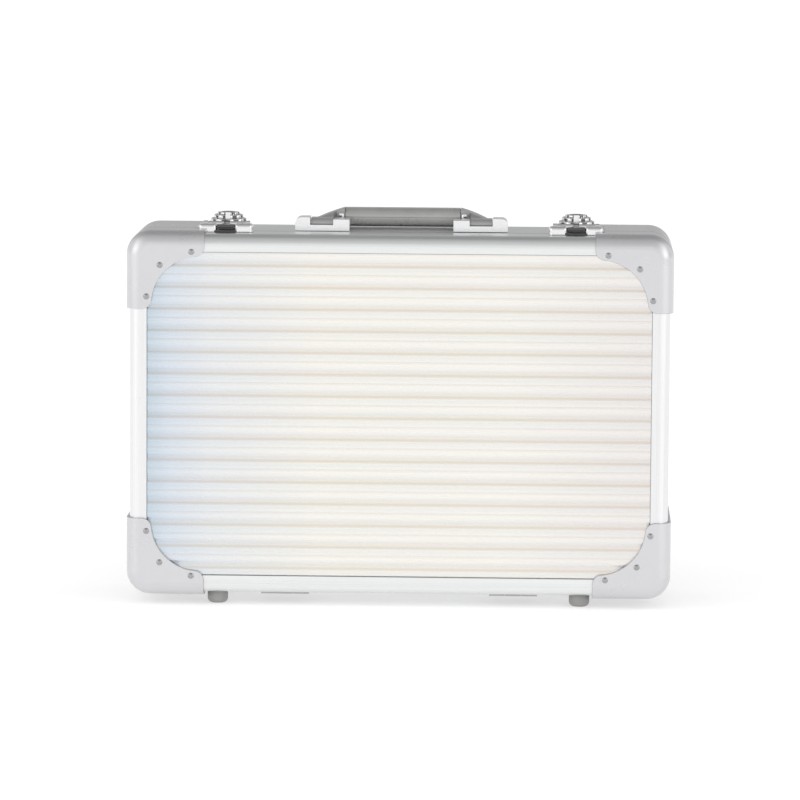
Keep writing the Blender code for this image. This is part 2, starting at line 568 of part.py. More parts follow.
# ---- handle ------------------------------------------------------------------
under = TOP_Z + FIT
grip_y = PIVOT_Y + GRIP_REACH
grip_z = TOP_Z + GRIP_LIFT
bm = cube(-GRIP_LENGTH / 2, GRIP_LENGTH / 2, grip_y - GRIP_WIDTH / 2, grip_y + GRIP_WIDTH / 2,
          grip_z, grip_z + GRIP_THICK)
round_edges(bm, 0.0045, 4, lambda a, b: abs(a.x - b.x) > 0.001)
grip = add("handle_grip", bm, case, grip_plastic)
handle = [grip]
base_front = PIVOT_Y - PIVOT_BACK
for across, sx in SIDES.items():
    slot0 = BASE_IN + SLOT_IN
    slot1 = slot0 + SLOT_WIDTH
    base_out = BASE_IN + BASE_LENGTH
    bm = cube(sx * BASE_IN, sx * base_out, base_front, base_front + BASE_WIDTH,
              under, under + BASE_TALL - FIT)
    top = under + BASE_TALL - FIT
    round_edges(bm, BASE_END_ROUND, 5,
                lambda a, b: abs(abs(a.x) - base_out) < 1e-6 and abs(abs(b.x) - base_out) < 1e-6
                and abs(a.z - top) < 1e-6 and abs(b.z - top) < 1e-6)
    base = add("handle_base_" + across, bm, case, base_metal)
    slot = add("handle_slot_" + across,
               cube(sx * slot0, sx * slot1, base_front + BASE_FRONT_WALL,
                    base_front + BASE_WIDTH + 0.002, under + SLOT_FLOOR - FIT, top + 0.002), cutters)
    combine(base, slot, "DIFFERENCE")
    sill = add("handle_sill_" + across,
               cube(sx * slot0, sx * slot1, base_front - 0.002, base_front + BASE_FRONT_WALL + 0.001,
                    under + BASE_SILL, top + 0.002), cutters)
    combine(base, sill, "DIFFERENCE")
    step = add("handle_step_" + across,
               cube(sx * (BASE_IN - 0.002), sx * (slot0 + 0.001), base_front - 0.002,
                    base_front + BASE_WIDTH + 0.002, under + BASE_INNER_TALL, top + 0.002), cutters)
    combine(base, step, "DIFFERENCE")
    bore = add("handle_bore_" + across,
               rod(bmesh.new(), HANDLE_PIN + FIT, (sx * (BASE_IN - 0.001), PIVOT_Y, PIVOT_Z),
                   (sx * (base_out - 0.003), PIVOT_Y, PIVOT_Z), 20), cutters)
    combine(base, bore, "DIFFERENCE")
    pin = add("handle_pin_" + across,
              rod(bmesh.new(), HANDLE_PIN, (sx * (BASE_IN + FIT), PIVOT_Y, PIVOT_Z),
                  (sx * (base_out - 0.003 - FIT), PIVOT_Y, PIVOT_Z), 20), case, hinge_steel)
    parts["body"] += [base, pin]

    # arm: a side outline swept across, cut to its plan
    low, high = PIVOT_Z - ARM_BARREL, PIVOT_Z + ARM_BARREL
    past_base = base_front + BASE_WIDTH + 0.002
    near_grip, far_grip = grip_y - GRIP_WIDTH / 2, grip_y + GRIP_WIDTH / 2
    arm_top = grip_z + GRIP_THICK - 0.0004
    side = arc(PIVOT_Y, PIVOT_Z, ARM_BARREL, 90, 270, 8)
    side += [(far_grip, low), (far_grip, arm_top), (near_grip + 0.0015, arm_top), (past_base, high)]
    arm = flat("handle_arm_" + across, side, base_out - BASE_IN + 0.03, (0, 1, 0), (0, 0, 1),
               Vector((sx * (BASE_IN + base_out) / 2, 0, 0)), case, arm_metal)
    arm_in, arm_out = slot0 + ARM_SIDE_GAP, slot1 - ARM_SIDE_GAP
    end_x = GRIP_LENGTH / 2 + FIT
    plan = [(arm_in, PIVOT_Y - ARM_BARREL - 0.001), (arm_out, PIVOT_Y - ARM_BARREL - 0.001),
            (arm_out, past_base + 0.002), (arm_out - 0.004, near_grip - 0.001),
            (arm_out - 0.012, far_grip - 0.007), (end_x + 0.008, far_grip - 0.001),
            (end_x, far_grip + 0.001), (end_x, near_grip),
            (end_x + 0.0065, near_grip), (arm_in, near_grip - 0.005)]
    shape = flat("handle_plan_" + across, [(sx * x, y) for x, y in plan], 0.04,
                 (1, 0, 0), (0, 1, 0), Vector((0, 0, PIVOT_Z)), cutters)
    combine(arm, shape, "INTERSECT")
    wedge = [(end_x + 0.0005, arm_top + 0.003), (end_x + 0.0005, arm_top), (slot1, arm_top - ARM_FALL),
             (slot1 + 0.002, arm_top - ARM_FALL), (slot1 + 0.002, arm_top + 0.003)]
    slope = flat("handle_arm_slope_" + across, wedge, far_grip - past_base + 0.003,
                 (sx, 0, 0), (0, 0, 1), Vector((0, (past_base + 0.001 + far_grip + 0.003) / 2, 0)), cutters)
    combine(arm, slope, "DIFFERENCE")
    combine(arm, bore, "DIFFERENCE")
    rivet_x = end_x + 0.0032
    rivet_z = grip_z + GRIP_THICK * 0.60
    hole = add("grip_rivet_hole_" + across,
               rod(bmesh.new(), GRIP_RIVET + FIT, (sx * rivet_x, near_grip - 0.002, rivet_z),
                   (sx * rivet_x, near_grip + 0.0063, rivet_z), 12), cutters)
    combine(arm, hole, "DIFFERENCE")
    bm = rod(bmesh.new(), GRIP_RIVET_HEAD, (sx * rivet_x, near_grip - FIT, rivet_z),
             (sx * rivet_x, near_grip - FIT - 0.0011, rivet_z), 16)
    tip = near_grip - FIT - 0.0011
    round_edges(bm, 0.0008, 2, lambda a, b: abs(a.y - tip) < 1e-6 and abs(b.y - tip) < 1e-6)
    rivet = add("grip_rivet_" + across, bm, case, chrome)
    shank = add("grip_rivet_shank_" + across,
                rod(bmesh.new(), GRIP_RIVET, (sx * rivet_x, near_grip - 0.0007, rivet_z),
                    (sx * rivet_x, near_grip + 0.006, rivet_z), 12), cutters)
    combine(rivet, shank, "UNION")
    handle += [arm, rivet]

# ---- latches -----------------------------------------------------------------
levers, hooks, keys = {}, {}, {}
for across, sx in SIDES.items():
    x = sx * LATCH_X
    half = PLATE_WIDTH / 2
    plate_top = under + PLATE_THICK
    plate = add("latch_plate_" + across,
                cube(x - half, x + half, PLATE_FRONT, PLATE_FRONT + PLATE_LENGTH, under, plate_top),
                case, chrome)
    for k, s in enumerate((-1, 1)):
        bm = cube(x + s * half, x + s * (half - CHEEK_THICK), PLATE_FRONT, PLATE_FRONT + CHEEK_LENGTH,
                  under + PLATE_THICK / 2, under + CHEEK_TALL)
        peak = under + CHEEK_TALL
        round_edges(bm, 0.002, 3, lambda a, b: abs(a.x - b.x) > 0.001
                    and abs(a.z - peak) < 1e-6 and abs(b.z - peak) < 1e-6)
        combine(plate, add("latch_cheek_%s_%d" % (across, k), bm, cutters), "UNION")
    trunnion_bore = add("trunnion_bore_" + across,
                        rod(bmesh.new(), TRUNNION + FIT, (x - half - 0.001, LEVER_Y, LEVER_Z),
                            (x + half + 0.001, LEVER_Y, LEVER_Z)), cutters)
    combine(plate, trunnion_bore, "DIFFERENCE")
    parts["body"].append(plate)

    # lever: a stepped turned dome on a barrel with two trunnions
    dome_y = LEVER_Y + DOME_BACK
    dome_low = plate_top + FIT
    rise = dome_low + DOME_BASE
    profile = [(DOME_RADIUS, dome_low), (DOME_RADIUS, rise)]
    radius = DOME_RADIUS
    for smaller, up in zip(TIER_RADII, TIER_RISES):
        profile += [(radius - TIER_SHOULDER, rise + TIER_SHOULDER * 0.8), (smaller, rise + TIER_SHOULDER)]
        rise += up
        profile.append((smaller, rise))
        radius = smaller
    dome_top = rise + 0.0003
    profile += [(radius - 0.0004, dome_top), (0, dome_top)]
    profile = [(r, z - dome_low) for r, z in reversed([(0, dome_low)] + profile)]
    lever = turned("latch_lever_" + across, profile, 28, (x, dome_y, dome_low), case, chrome)
    inside = half - CHEEK_THICK - 0.0004
    barrel = add("lever_barrel_" + across,
                 rod(bmesh.new(), BARREL, (x - inside, LEVER_Y, LEVER_Z), (x + inside, LEVER_Y, LEVER_Z), 20),
                 cutters)
    web = add("lever_web_" + across,
              cube(x - inside, x + inside, LEVER_Y, LEVER_Y + 0.0075, LEVER_Z - BARREL + 0.0001,
                   LEVER_Z + BARREL - 0.0006), cutters)
    pins = add("lever_trunnions_" + across,
               rod(bmesh.new(), TRUNNION, (x - half + FIT, LEVER_Y, LEVER_Z),
                   (x + half - FIT, LEVER_Y, LEVER_Z), 12), cutters)
    back = dome_y + DOME_RADIUS
    tab_bm = cube(x - 0.007, x + 0.007, back - 0.004, back + TAB_OUT, dome_low + 0.0003, dome_low + 0.0024)
    round_edges(tab_bm, 0.003, 3, lambda a, b: abs(a.z - b.z) > 0.001
                and abs(a.y - back - TAB_OUT) < 1e-6)
    tab = add("lever_tab_" + across, tab_bm, cutters)
    notch = add("lever_notch_" + across,
                cube(x - NOTCH_HALF, x + NOTCH_HALF, LEVER_Y - 0.0035, LEVER_Y - 0.0035 + NOTCH_LENGTH,
                     dome_low - 0.002, dome_top + 0.002), cutters)
    key_bore = add("key_bore_" + across,
                   rod(bmesh.new(), KEY_RADIUS + FIT, (x, dome_y, dome_top - KEY_DEPTH),
                       (x, dome_y, dome_top + 0.002), 24), cutters)
    pin_y, pin_z = LEVER_Y + HOOK_PIVOT_BACK, LEVER_Z - HOOK_PIVOT_DROP
    pin_bore = add("hook_bore_" + across,
                   rod(bmesh.new(), HOOK_PIN + FIT, (x - HOOK_PIN_HALF - FIT, pin_y, pin_z),
                       (x + HOOK_PIN_HALF + FIT, pin_y, pin_z), 12), cutters)
    for piece in (barrel, web, pins, tab):
        combine(lever, piece, "UNION")
    for piece in (notch, key_bore, pin_bore):
        combine(lever, piece, "DIFFERENCE")
    hook_pin = add("latch_hook_pin_" + across,
                   rod(bmesh.new(), HOOK_PIN, (x - HOOK_PIN_HALF, pin_y, pin_z),
                       (x + HOOK_PIN_HALF, pin_y, pin_z), 12), case, hinge_steel)
    levers[across] = [lever, hook_pin]

    bm = rod(bmesh.new(), KEY_RADIUS, (x, dome_y, dome_top - KEY_DEPTH + FIT), (x, dome_y, dome_top + FIT), 24)
    key = add("key_cylinder_" + across, bm, case, key_brass)
    keyway = add("keyway_" + across,
                 cube(x - KEYWAY / 2, x + KEYWAY / 2, dome_y - 0.003, dome_y + 0.003,
                      dome_top - 0.0025, dome_top + 0.002), cutters)
    combine(key, keyway, "DIFFERENCE")
    keys[across] = [key]

    # keeper on the lid, with the channel its hook lies in
    keeper_back = SEAM_Y - KEEPER_GAP
    keeper_front = keeper_back - KEEPER_LENGTH
    keeper_top = under + KEEPER_TALL
    wing_end = LATCH_WIDTH / 2
    keeper = add("latch_keeper_" + across,
                 cube(x - CHANNEL_HALF - KEEPER_END_ROUND, x + CHANNEL_HALF + KEEPER_END_ROUND,
                      keeper_front + FIT, keeper_back - FIT, under, under + KEEPER_FLOOR), case, chrome)
    for k, s in enumerate((-1, 1)):
        bm = cube(x + s * CHANNEL_HALF, x + s * wing_end, keeper_front, keeper_back, under, keeper_top)
        round_edges(bm, KEEPER_END_ROUND, 4, lambda a, b: abs(a.z - b.z) > 0.001)
        round_edges(bm, KEEPER_ROUND, 3, lambda a, b: abs(a.z - keeper_top) < 1e-6
                    and abs(b.z - keeper_top) < 1e-6)
        combine(keeper, add("keeper_wing_%s_%d" % (across, k), bm, cutters), "UNION")
    lip_top = under + KEEPER_FLOOR + KEEPER_LIP
    lip = add("keeper_lip_" + across,
              cube(x - CHANNEL_HALF + 0.0015, x + CHANNEL_HALF - 0.0015, keeper_back - 0.006,
                   keeper_back - 0.0035, under + KEEPER_FLOOR / 2, lip_top), cutters)
    combine(keeper, lip, "UNION")
    parts["lid"].append(keeper)

    # hook: an eye and neck in the lever's notch, flaring to a nose over the lip
    nose_low = lip_top + FIT
    nose_top = nose_low + NOSE_THICK
    nose_front = keeper_front + 0.0015
    flare_start = nose_front + NOSE_LENGTH + NECK_FLARE
    neck = arc(pin_y, pin_z, HOOK_EYE, -90, 90, 8)
    neck += [(LEVER_Y, nose_top), (flare_start - 0.003, nose_top), (flare_start - 0.003, nose_low),
             (LEVER_Y, nose_low)]
    hook = flat("latch_hook_" + across, neck, 2 * HOOK_HALF, (0, 1, 0), (0, 0, 1),
                Vector((x, 0, 0)), case, dark_steel)
    nose = [(-HOOK_HALF, flare_start), (HOOK_HALF, flare_start), (0.0045, nose_front + NOSE_LENGTH + 0.001),
            (NOSE_HALF, nose_front + NOSE_LENGTH), (NOSE_HALF, nose_front), (-NOSE_HALF, nose_front),
            (-NOSE_HALF, nose_front + NOSE_LENGTH), (-0.0045, nose_front + NOSE_LENGTH + 0.001)]
    flare = flat("hook_nose_" + across, nose, NOSE_THICK - 0.0002, (1, 0, 0), (0, 1, 0),
                 Vector((x, 0, (nose_low + nose_top) / 2)), cutters)
    combine(hook, flare, "UNION")
    combine(hook, pin_bore, "DIFFERENCE")
    hooks[across] = [hook]

# ---- parents on the joint axes -----------------------------------------------
body_frame = axis_empty("body_frame", (0, 0, 0))
lid_axis = axis_empty("lid_axis", (0, SEAM_Y, HINGE_Z))
handle_axis = axis_empty("handle_axis", (0, PIVOT_Y, PIVOT_Z))
carry(body_frame, *parts["body"])
carry(lid_axis, *parts["lid"])
carry(handle_axis, *handle)
for across, sx in SIDES.items():
    x = sx * LATCH_X
    lever_axis = axis_empty("lever_axis_" + across, (x, LEVER_Y, LEVER_Z))
    hook_axis = axis_empty("hook_axis_" + across,
                           (x, LEVER_Y + HOOK_PIVOT_BACK, LEVER_Z - HOOK_PIVOT_DROP))
    key_axis = axis_empty("key_axis_" + across, (x, LEVER_Y + DOME_BACK, LEVER_Z))
    carry(lever_axis, *levers[across], hook_axis, key_axis)
    carry(hook_axis, *hooks[across])
    carry(key_axis, *keys[across])
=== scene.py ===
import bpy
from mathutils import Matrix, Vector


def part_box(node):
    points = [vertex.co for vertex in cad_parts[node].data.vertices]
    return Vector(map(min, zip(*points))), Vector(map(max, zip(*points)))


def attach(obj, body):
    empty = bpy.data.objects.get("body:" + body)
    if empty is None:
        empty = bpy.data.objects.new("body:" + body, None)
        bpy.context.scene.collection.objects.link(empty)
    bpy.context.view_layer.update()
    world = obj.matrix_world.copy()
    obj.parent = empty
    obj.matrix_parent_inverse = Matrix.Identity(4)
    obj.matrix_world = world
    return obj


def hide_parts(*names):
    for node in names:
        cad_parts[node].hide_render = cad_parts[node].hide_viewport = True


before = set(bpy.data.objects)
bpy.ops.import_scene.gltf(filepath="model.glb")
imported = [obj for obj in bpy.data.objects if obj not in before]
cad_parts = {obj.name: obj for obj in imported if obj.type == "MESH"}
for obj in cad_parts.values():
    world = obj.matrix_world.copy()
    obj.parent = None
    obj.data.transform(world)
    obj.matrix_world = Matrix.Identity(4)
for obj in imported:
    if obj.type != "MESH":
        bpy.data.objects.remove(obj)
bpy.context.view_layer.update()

import math

import bmesh
import bpy
from mathutils import Matrix, Vector

scene = bpy.context.scene
sides = {"left": -1, "right": 1}
levels = {"top": 1, "bottom": -1}

# everything below is placed from these: the rails' and castings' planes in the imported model
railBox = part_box("lid_rail_top")
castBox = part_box("lid_corner_top_right")
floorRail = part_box("lid_rail_bottom")[0].z
topRail = railBox[1].z
midZ = (floorRail + topRail) / 2
halfW = -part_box("lid_rail_left")[0].x
halfH = topRail - midZ
faceY = {"lid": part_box("lid_rail_top")[0].y, "body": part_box("body_rail_top")[1].y}
runY = {"lid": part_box("lid_rail_top")[1].y, "body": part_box("body_rail_top")[0].y}
inward = {"lid": 1, "body": -1}
proud = castBox[1].x - halfW
touch = 1e-6  # closer than this is the same place


# node helpers
def node(tree, kind, inputs=None, **settings):
    made = tree.nodes.new(kind)
    for name, value in settings.items():
        setattr(made, name, value)
    for name, value in (inputs or {}).items():
        socket = made.inputs[name]
        if isinstance(value, bpy.types.NodeSocket):
            tree.links.new(value, socket)
        else:
            socket.default_value = value
    return made


def ramp(tree, factor, stops):
    made = node(tree, "ShaderNodeValToRGB", {"Fac": factor})
    points = made.color_ramp.elements
    while len(points) < len(stops):
        points.new(0.5)
    for point, (place, colour) in zip(points, stops):
        point.position = place
        point.color = (*colour, 1) if len(colour) == 3 else colour
    return made.outputs["Color"]


def grey(value):
    return (value, value, value)


def startMaterial(name, metallic=0.0, roughness=0.4):
    made = bpy.data.materials.new(name)
    made.use_nodes = True
    shader = made.node_tree.nodes["Principled BSDF"]
    shader.inputs["Metallic"].default_value = metallic
    shader.inputs["Roughness"].default_value = roughness
    return made, made.node_tree, shader


def stretched(tree, scale, stretch, detail=4.0, rough=0.55):
    place = node(tree, "ShaderNodeTexCoord").outputs["Object"]
    turned = node(tree, "ShaderNodeMapping", {"Vector": place, "Scale": stretch}).outputs["Vector"]
    settings = {"Vector": turned, "Scale": scale, "Detail": detail, "Roughness": rough}
    return node(tree, "ShaderNodeTexNoise", settings).outputs["Fac"]


def sums(tree, operation, *values):
    return node(tree, "ShaderNodeMath", dict(enumerate(values)), operation=operation).outputs[0]


def spread(tree, value, fromMin, fromMax, toMin=0.0, toMax=1.0):
    return node(tree, "ShaderNodeMapRange",
                {"Value": value, "From Min": fromMin, "From Max": fromMax,
                 "To Min": toMin, "To Max": toMax}).outputs[0]


def tinted(tree, shader, factor, stops):
    tree.links.new(ramp(tree, factor, stops), shader.inputs["Base Color"])


def roughened(tree, shader, value, *limits):
    tree.links.new(spread(tree, value, *limits), shader.inputs["Roughness"])


def mixColour(tree, factor, a, b, blend="MIX"):
    made = node(tree, "ShaderNodeMix", data_type="RGBA", blend_type=blend)
    sockets = (made.inputs[0], made.inputs[6], made.inputs[7])
    for socket, value in zip(sockets, (factor, a, b)):
        if isinstance(value, bpy.types.NodeSocket):
            tree.links.new(value, socket)
        elif socket.type == "RGBA":
            socket.default_value = (*value, 1)
        else:
            socket.default_value = value
    return made.outputs[2]


def bumpFrom(tree, shader, height, strength, distance):
    made = node(tree, "ShaderNodeBump",
                {"Height": height, "Strength": strength, "Distance": distance})
    tree.links.new(made.outputs["Normal"], shader.inputs["Normal"])


# finishes
def satinAluminium(name, colour, stretch, roughness=(0.26, 0.36), streak=0.05, bump=0.05):
    made, tree, shader = startMaterial(name, metallic=1.0)
    streaks = stretched(tree, 1.0, stretch, 6.0, 0.62)
    smudge = stretched(tree, 14.0, (1, 1, 1), 3.0)
    low = tuple(c * (1 - streak) for c in colour)
    high = tuple(min(1, c * (1 + streak)) for c in colour)
    tinted(tree, shader, streaks, [(0.3, low), (0.7, high)])
    worn = sums(tree, "ADD", streaks, smudge)
    roughened(tree, shader, worn, 0.7, 1.3, *roughness)
    bumpFrom(tree, shader, streaks, bump, 0.0002)
    return made


ribPitch = 0.0179
panelStreakAndPaintedReflections = {  # painted reflections that the ribs show: the colour shift along the panel, darker and bluer at the left end, and the warm and cool bands from rib to rib; brushed is the sheet's own streak colour
    "brushed": (0.78, 0.79, 0.80),
    "across": [(0.03, (0.54, 0.65, 0.75)), (0.075, (0.69, 0.75, 0.83)),
               (0.15, (0.80, 0.82, 0.84)), (0.35, (0.91, 0.89, 0.84)),
               (0.70, (0.91, 0.89, 0.845)), (0.95, (0.85, 0.82, 0.80))],
    "ribPaintedReflections": [(0.0, (0.87, 0.86, 0.85)), (0.06, (0.94, 0.90, 0.84)), (0.14, (1.0, 0.935, 0.86)),
               (0.22, (0.98, 0.94, 0.90)), (0.30, (0.89, 0.925, 0.94)), (0.42, (0.95, 0.945, 0.93)),
               (0.48, (0.965, 0.955, 0.94)), (0.57, (0.92, 0.91, 0.905)),
               (0.66, (1.0, 0.985, 0.965)), (0.76, (0.98, 0.97, 0.955)),
               (0.86, (0.925, 0.925, 0.93)), (0.95, (0.87, 0.86, 0.855)),
               (1.0, (0.87, 0.86, 0.85))],
}


def ribbedAluminium():
    made, tree, shader = startMaterial("ribbedAluminium", metallic=1.0)
    place = node(tree, "ShaderNodeTexCoord").outputs["Object"]
    axes = node(tree, "ShaderNodeSeparateXYZ", {"Vector": place})
    # painted reflection: darker and bluer towards the left end of the panel, warmer across the
    # middle
    across = ramp(tree, spread(tree, axes.outputs["X"], -halfW, halfW), panelStreakAndPaintedReflections["across"])
    down = sums(tree, "SUBTRACT", midZ, axes.outputs["Z"])
    periods = sums(tree, "DIVIDE", down, ribPitch)
    # painted reflection: warm and cool bands that repeat with each rib, standing in for what the
    # rib flanks reflect
    paintedRibBands = ramp(tree, sums(tree, "FRACT", periods), panelStreakAndPaintedReflections["ribPaintedReflections"])
    colour = mixColour(tree, 1.0, across, paintedRibBands, "MULTIPLY")
    streaks = stretched(tree, 1.0, (5, 700, 700), 6.0, 0.6)
    brushed = ramp(tree, streaks, [(0.35, grey(0)), (0.75, grey(0.35))])
    colour = mixColour(tree, brushed, colour, panelStreakAndPaintedReflections["brushed"])
    tree.links.new(colour, shader.inputs["Base Color"])
    roughened(tree, shader, streaks, 0.3, 0.7, 0.22, 0.32)
    dents = stretched(tree, 1.0, (9, 9, 60), 2.0, 0.4)
    both = sums(tree, "MULTIPLY_ADD", streaks, 0.12, dents)
    bumpFrom(tree, shader, both, 0.10, 0.0012)
    return made


def castAluminium(name, colour, roughness, grain=900.0, bump=0.06, metallic=0.9):
    made, tree, shader = startMaterial(name, metallic=metallic)
    fine = stretched(tree, grain, (1, 1, 1), 3.0, 0.6)
    wide = stretched(tree, 22.0, (1, 1, 1), 4.0)
    tinted(tree, shader, wide, [(0.3, tuple(c * 0.955 for c in colour)), (0.7, colour)])
    roughened(tree, shader, wide, 0.3, 0.7, roughness - 0.05, roughness + 0.05)
    bumpFrom(tree, shader, fine, bump, 0.0002)
    return made


def plated(name, colour, roughness, smudge=0.05):
    made, tree, shader = startMaterial(name, metallic=1.0)
    wide = stretched(tree, 60.0, (1, 1, 1), 5.0, 0.6)
    tinted(tree, shader, wide, [(0.3, tuple(c * (1 - smudge) for c in colour)), (0.7, colour)])
    roughened(tree, shader, wide, 0.35, 0.75, roughness, roughness + 0.08)
    bumpFrom(tree, shader, wide, 0.03, 0.0002)
    return made


def moulded(name, colour, roughness, grain=1400.0, bump=0.25, depth=0.00012, metallic=0.0):
    made, tree, shader = startMaterial(name, metallic=metallic)
    fine = stretched(tree, grain, (1, 1, 1), 2.0, 0.5)
    wide = stretched(tree, 35.0, (1, 1, 1), 4.0)
    low, high = (tuple(c * share for c in colour) for share in (0.9, 1.06))
    tinted(tree, shader, wide, [(0.3, low), (0.7, high)])
    roughened(tree, shader, wide, 0.3, 0.7, roughness - 0.05, roughness + 0.07)
    bumpFrom(tree, shader, fine, bump, depth)
    return made


clothLook = {"thread": 0.0011, "dark": (0.020, 0.021, 0.024), "light": (0.062, 0.063, 0.068),
             "sheen": 0.35, "sheenRough": 0.4}


def liningCloth():
    made, tree, shader = startMaterial("liningCloth", roughness=0.9)
    shader.inputs["Sheen Weight"].default_value = clothLook["sheen"]
    shader.inputs["Sheen Roughness"].default_value = clothLook["sheenRough"]
    place = node(tree, "ShaderNodeTexCoord").outputs["Object"]
    axes = node(tree, "ShaderNodeSeparateXYZ", {"Vector": place})
    deep = sums(tree, "ADD", axes.outputs["Z"], axes.outputs["Y"])
    wide = sums(tree, "SUBTRACT", axes.outputs["X"], axes.outputs["Y"])
    turns = 2 * math.pi / clothLook["thread"]
    threads = [sums(tree, "SINE", sums(tree, "MULTIPLY", way, turns)) for way in (deep, wide)]
    weave = sums(tree, "MULTIPLY", *threads)
    cloudy = stretched(tree, 40.0, (1, 1, 1), 5.0)
    level = sums(tree, "MULTIPLY_ADD", weave, 0.25, cloudy)
    tinted(tree, shader, level, [(0.25, clothLook["dark"]), (0.75, clothLook["light"])])
    bumpFrom(tree, shader, weave, 0.35, 0.0003)
    return made


finish = {
    "railX": satinAluminium("railAcross", (0.81, 0.82, 0.82), (4, 900, 900)),
    "railZ": satinAluminium("railUpright", (0.83, 0.83, 0.84), (900, 900, 4)),
    "panel": ribbedAluminium(),
    "corner": castAluminium("cornerSilver", (0.665, 0.665, 0.68), 0.28),
    "rivet": plated("rivetSteel", (0.40, 0.40, 0.41), 0.05),
    "chrome": plated("chromePlate", (0.82, 0.82, 0.83), 0.08),
    # dark steel for the latch hooks, also used as painted shade on the lever flutes and in the
    # keeper channels
    "darkSteelAndPaintedShade": plated("darkSteelAndPaintedShade", (0.10, 0.10, 0.10), 0.24),
    "lockFace": plated("lockFace", (0.46, 0.45, 0.42), 0.26),
    "hinge": plated("hingeSteel", (0.60, 0.60, 0.61), 0.28),
    "grip": moulded("gripPlastic", (0.40, 0.40, 0.39), 0.27, metallic=0.7),
    "arm": castAluminium("armGrey", (0.40, 0.40, 0.40), 0.34, metallic=0.75),
    "base": castAluminium("baseSilver", (0.84, 0.84, 0.85), 0.22),
    # painted shade: darker grey for the eased edge faces of rails and castings, standing in for the
    # dark line along their edges
    "edge": plated("paintedEdgeShade", (0.26, 0.26, 0.265), 0.35),
    "foot": moulded("footRubber", (0.30, 0.30, 0.292), 0.55),
    "cloth": liningCloth(),
    "rim": satinAluminium("rimAluminium", (0.70, 0.70, 0.71), (60, 900, 60)),
}
print("finishes made:", len(finish))


# mesh helpers
def settle(bm, name, look, body, replaced=(), angle=35.0, soften=0.0, steps=2,
           weighted=True, edgeShadeLook=None):
    # makes the finished piece: its finish, its eased edges, its body and the nodes it stands for
    bmesh.ops.remove_doubles(bm, verts=bm.verts, dist=touch)
    bmesh.ops.recalc_face_normals(bm, faces=bm.faces)
    mesh = bpy.data.meshes.new(name)
    bm.to_mesh(mesh)
    bm.free()
    mesh.shade_smooth()
    mesh.set_sharp_from_angle(angle=math.radians(angle))
    mesh.materials.append(finish[look])
    made = bpy.data.objects.new(name, mesh)
    scene.collection.objects.link(made)
    if soften:
        edge = made.modifiers.new("soften", "BEVEL")
        edge.width = soften
        edge.segments = steps
        edge.limit_method = "ANGLE"
        edge.angle_limit = math.radians(32)
        edge.use_clamp_overlap = True
        # the eased edge faces take the darker grey: painted shade along the edge
        if edgeShadeLook:
            mesh.materials.append(finish[edgeShadeLook])
            edge.material = 1
    if weighted:
        even = made.modifiers.new("even", "WEIGHTED_NORMAL")
        even.keep_sharp = not soften
        even.weight = 60
    if body:
        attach(made, body)
    if replaced:
        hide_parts(*replaced)
    return made


def block(x0, x1, y0, y1, z0, z1):
    bm = bmesh.new()
    low = Vector((min(x0, x1), min(y0, y1), min(z0, z1)))
    high = Vector((max(x0, x1), max(y0, y1), max(z0, z1)))
    size = high - low
    bmesh.ops.create_cube(bm, size=1, matrix=Matrix.Translation((low + high) / 2)
                          @ Matrix.Diagonal((size.x, size.y, size.z, 1)))
    return bm


def roundOff(bm, width, steps, wanted):
    edges = [e for e in bm.edges if wanted(e.verts[0].co, e.verts[1].co)]
    bmesh.ops.bevel(bm, geom=edges, offset=width, segments=steps, profile=0.5, affect="EDGES",
                    clamp_overlap=True, material=-1)
    return bm


def bar(start, end, radius, steps=32):
    bm = bmesh.new()
    start, end = Vector(start), Vector(end)
    turn = Vector((0, 0, 1)).rotation_difference(end - start).to_matrix().to_4x4()
    middle = Matrix.Translation((start + end) / 2)
    bmesh.ops.create_cone(bm, cap_ends=True, segments=steps, radius1=radius, radius2=radius,
                          depth=(end - start).length, matrix=middle @ turn)
    return bm


def spun(profile, steps, matrix):
    # profile: (radius, height) points, turned about Z and then placed
    bm = bmesh.new()
    line = [bm.verts.new((radius, 0, height)) for radius, height in profile]
    edges = [bm.edges.new(pair) for pair in zip(line, line[1:])]
    bmesh.ops.spin(bm, geom=line + edges, cent=(0, 0, 0), axis=(0, 0, 1), angle=2 * math.pi,
                   steps=steps, use_merge=True)
    bmesh.ops.remove_doubles(bm, verts=bm.verts, dist=touch)
    bmesh.ops.transform(bm, matrix=matrix, verts=bm.verts)
    return bm


def pushed(points, matrix, length):
    # flat outline in X and Y, pushed along Z by length and placed
    bm = bmesh.new()
    face = bm.faces.new([bm.verts.new((x, y, 0)) for x, y in points])
    grown = bmesh.ops.extrude_face_region(bm, geom=[face])["geom"]
    moved = [g for g in grown if isinstance(g, bmesh.types.BMVert)]
    bmesh.ops.translate(bm, vec=(0, 0, length), verts=moved)
    bmesh.ops.transform(bm, matrix=matrix, verts=bm.verts)
    bmesh.ops.recalc_face_normals(bm, faces=bm.faces)
    return bm


def onCircle(degrees, acrossBy, upBy):
    a = math.radians(degrees)
    return acrossBy * math.cos(a), upBy * math.sin(a)


def arcPoints(cx, cy, radius, first, last, steps):
    turns = (onCircle(first + (last - first) * i / steps, radius, radius) for i in range(steps + 1))
    return [(cx + x, cy + y) for x, y in turns]


def alongX(middle, half, radius, steps):
    # round bar that runs half each way along X
    x, y, z = middle
    return bar((x - half, y, z), (x + half, y, z), radius, steps)


def at(a, b):
    return abs(a - b) < touch


def axesMatrix(xAxis, yAxis, origin):
    xAxis, yAxis = Vector(xAxis), Vector(yAxis)
    zAxis = xAxis.cross(yAxis)
    return Matrix.Translation(origin) @ Matrix((xAxis, yAxis, zAxis)).transposed().to_4x4()


def evaluatedMesh(made):
    bpy.context.view_layer.update()
    return bpy.data.meshes.new_from_object(
        made.evaluated_get(bpy.context.evaluated_depsgraph_get()))


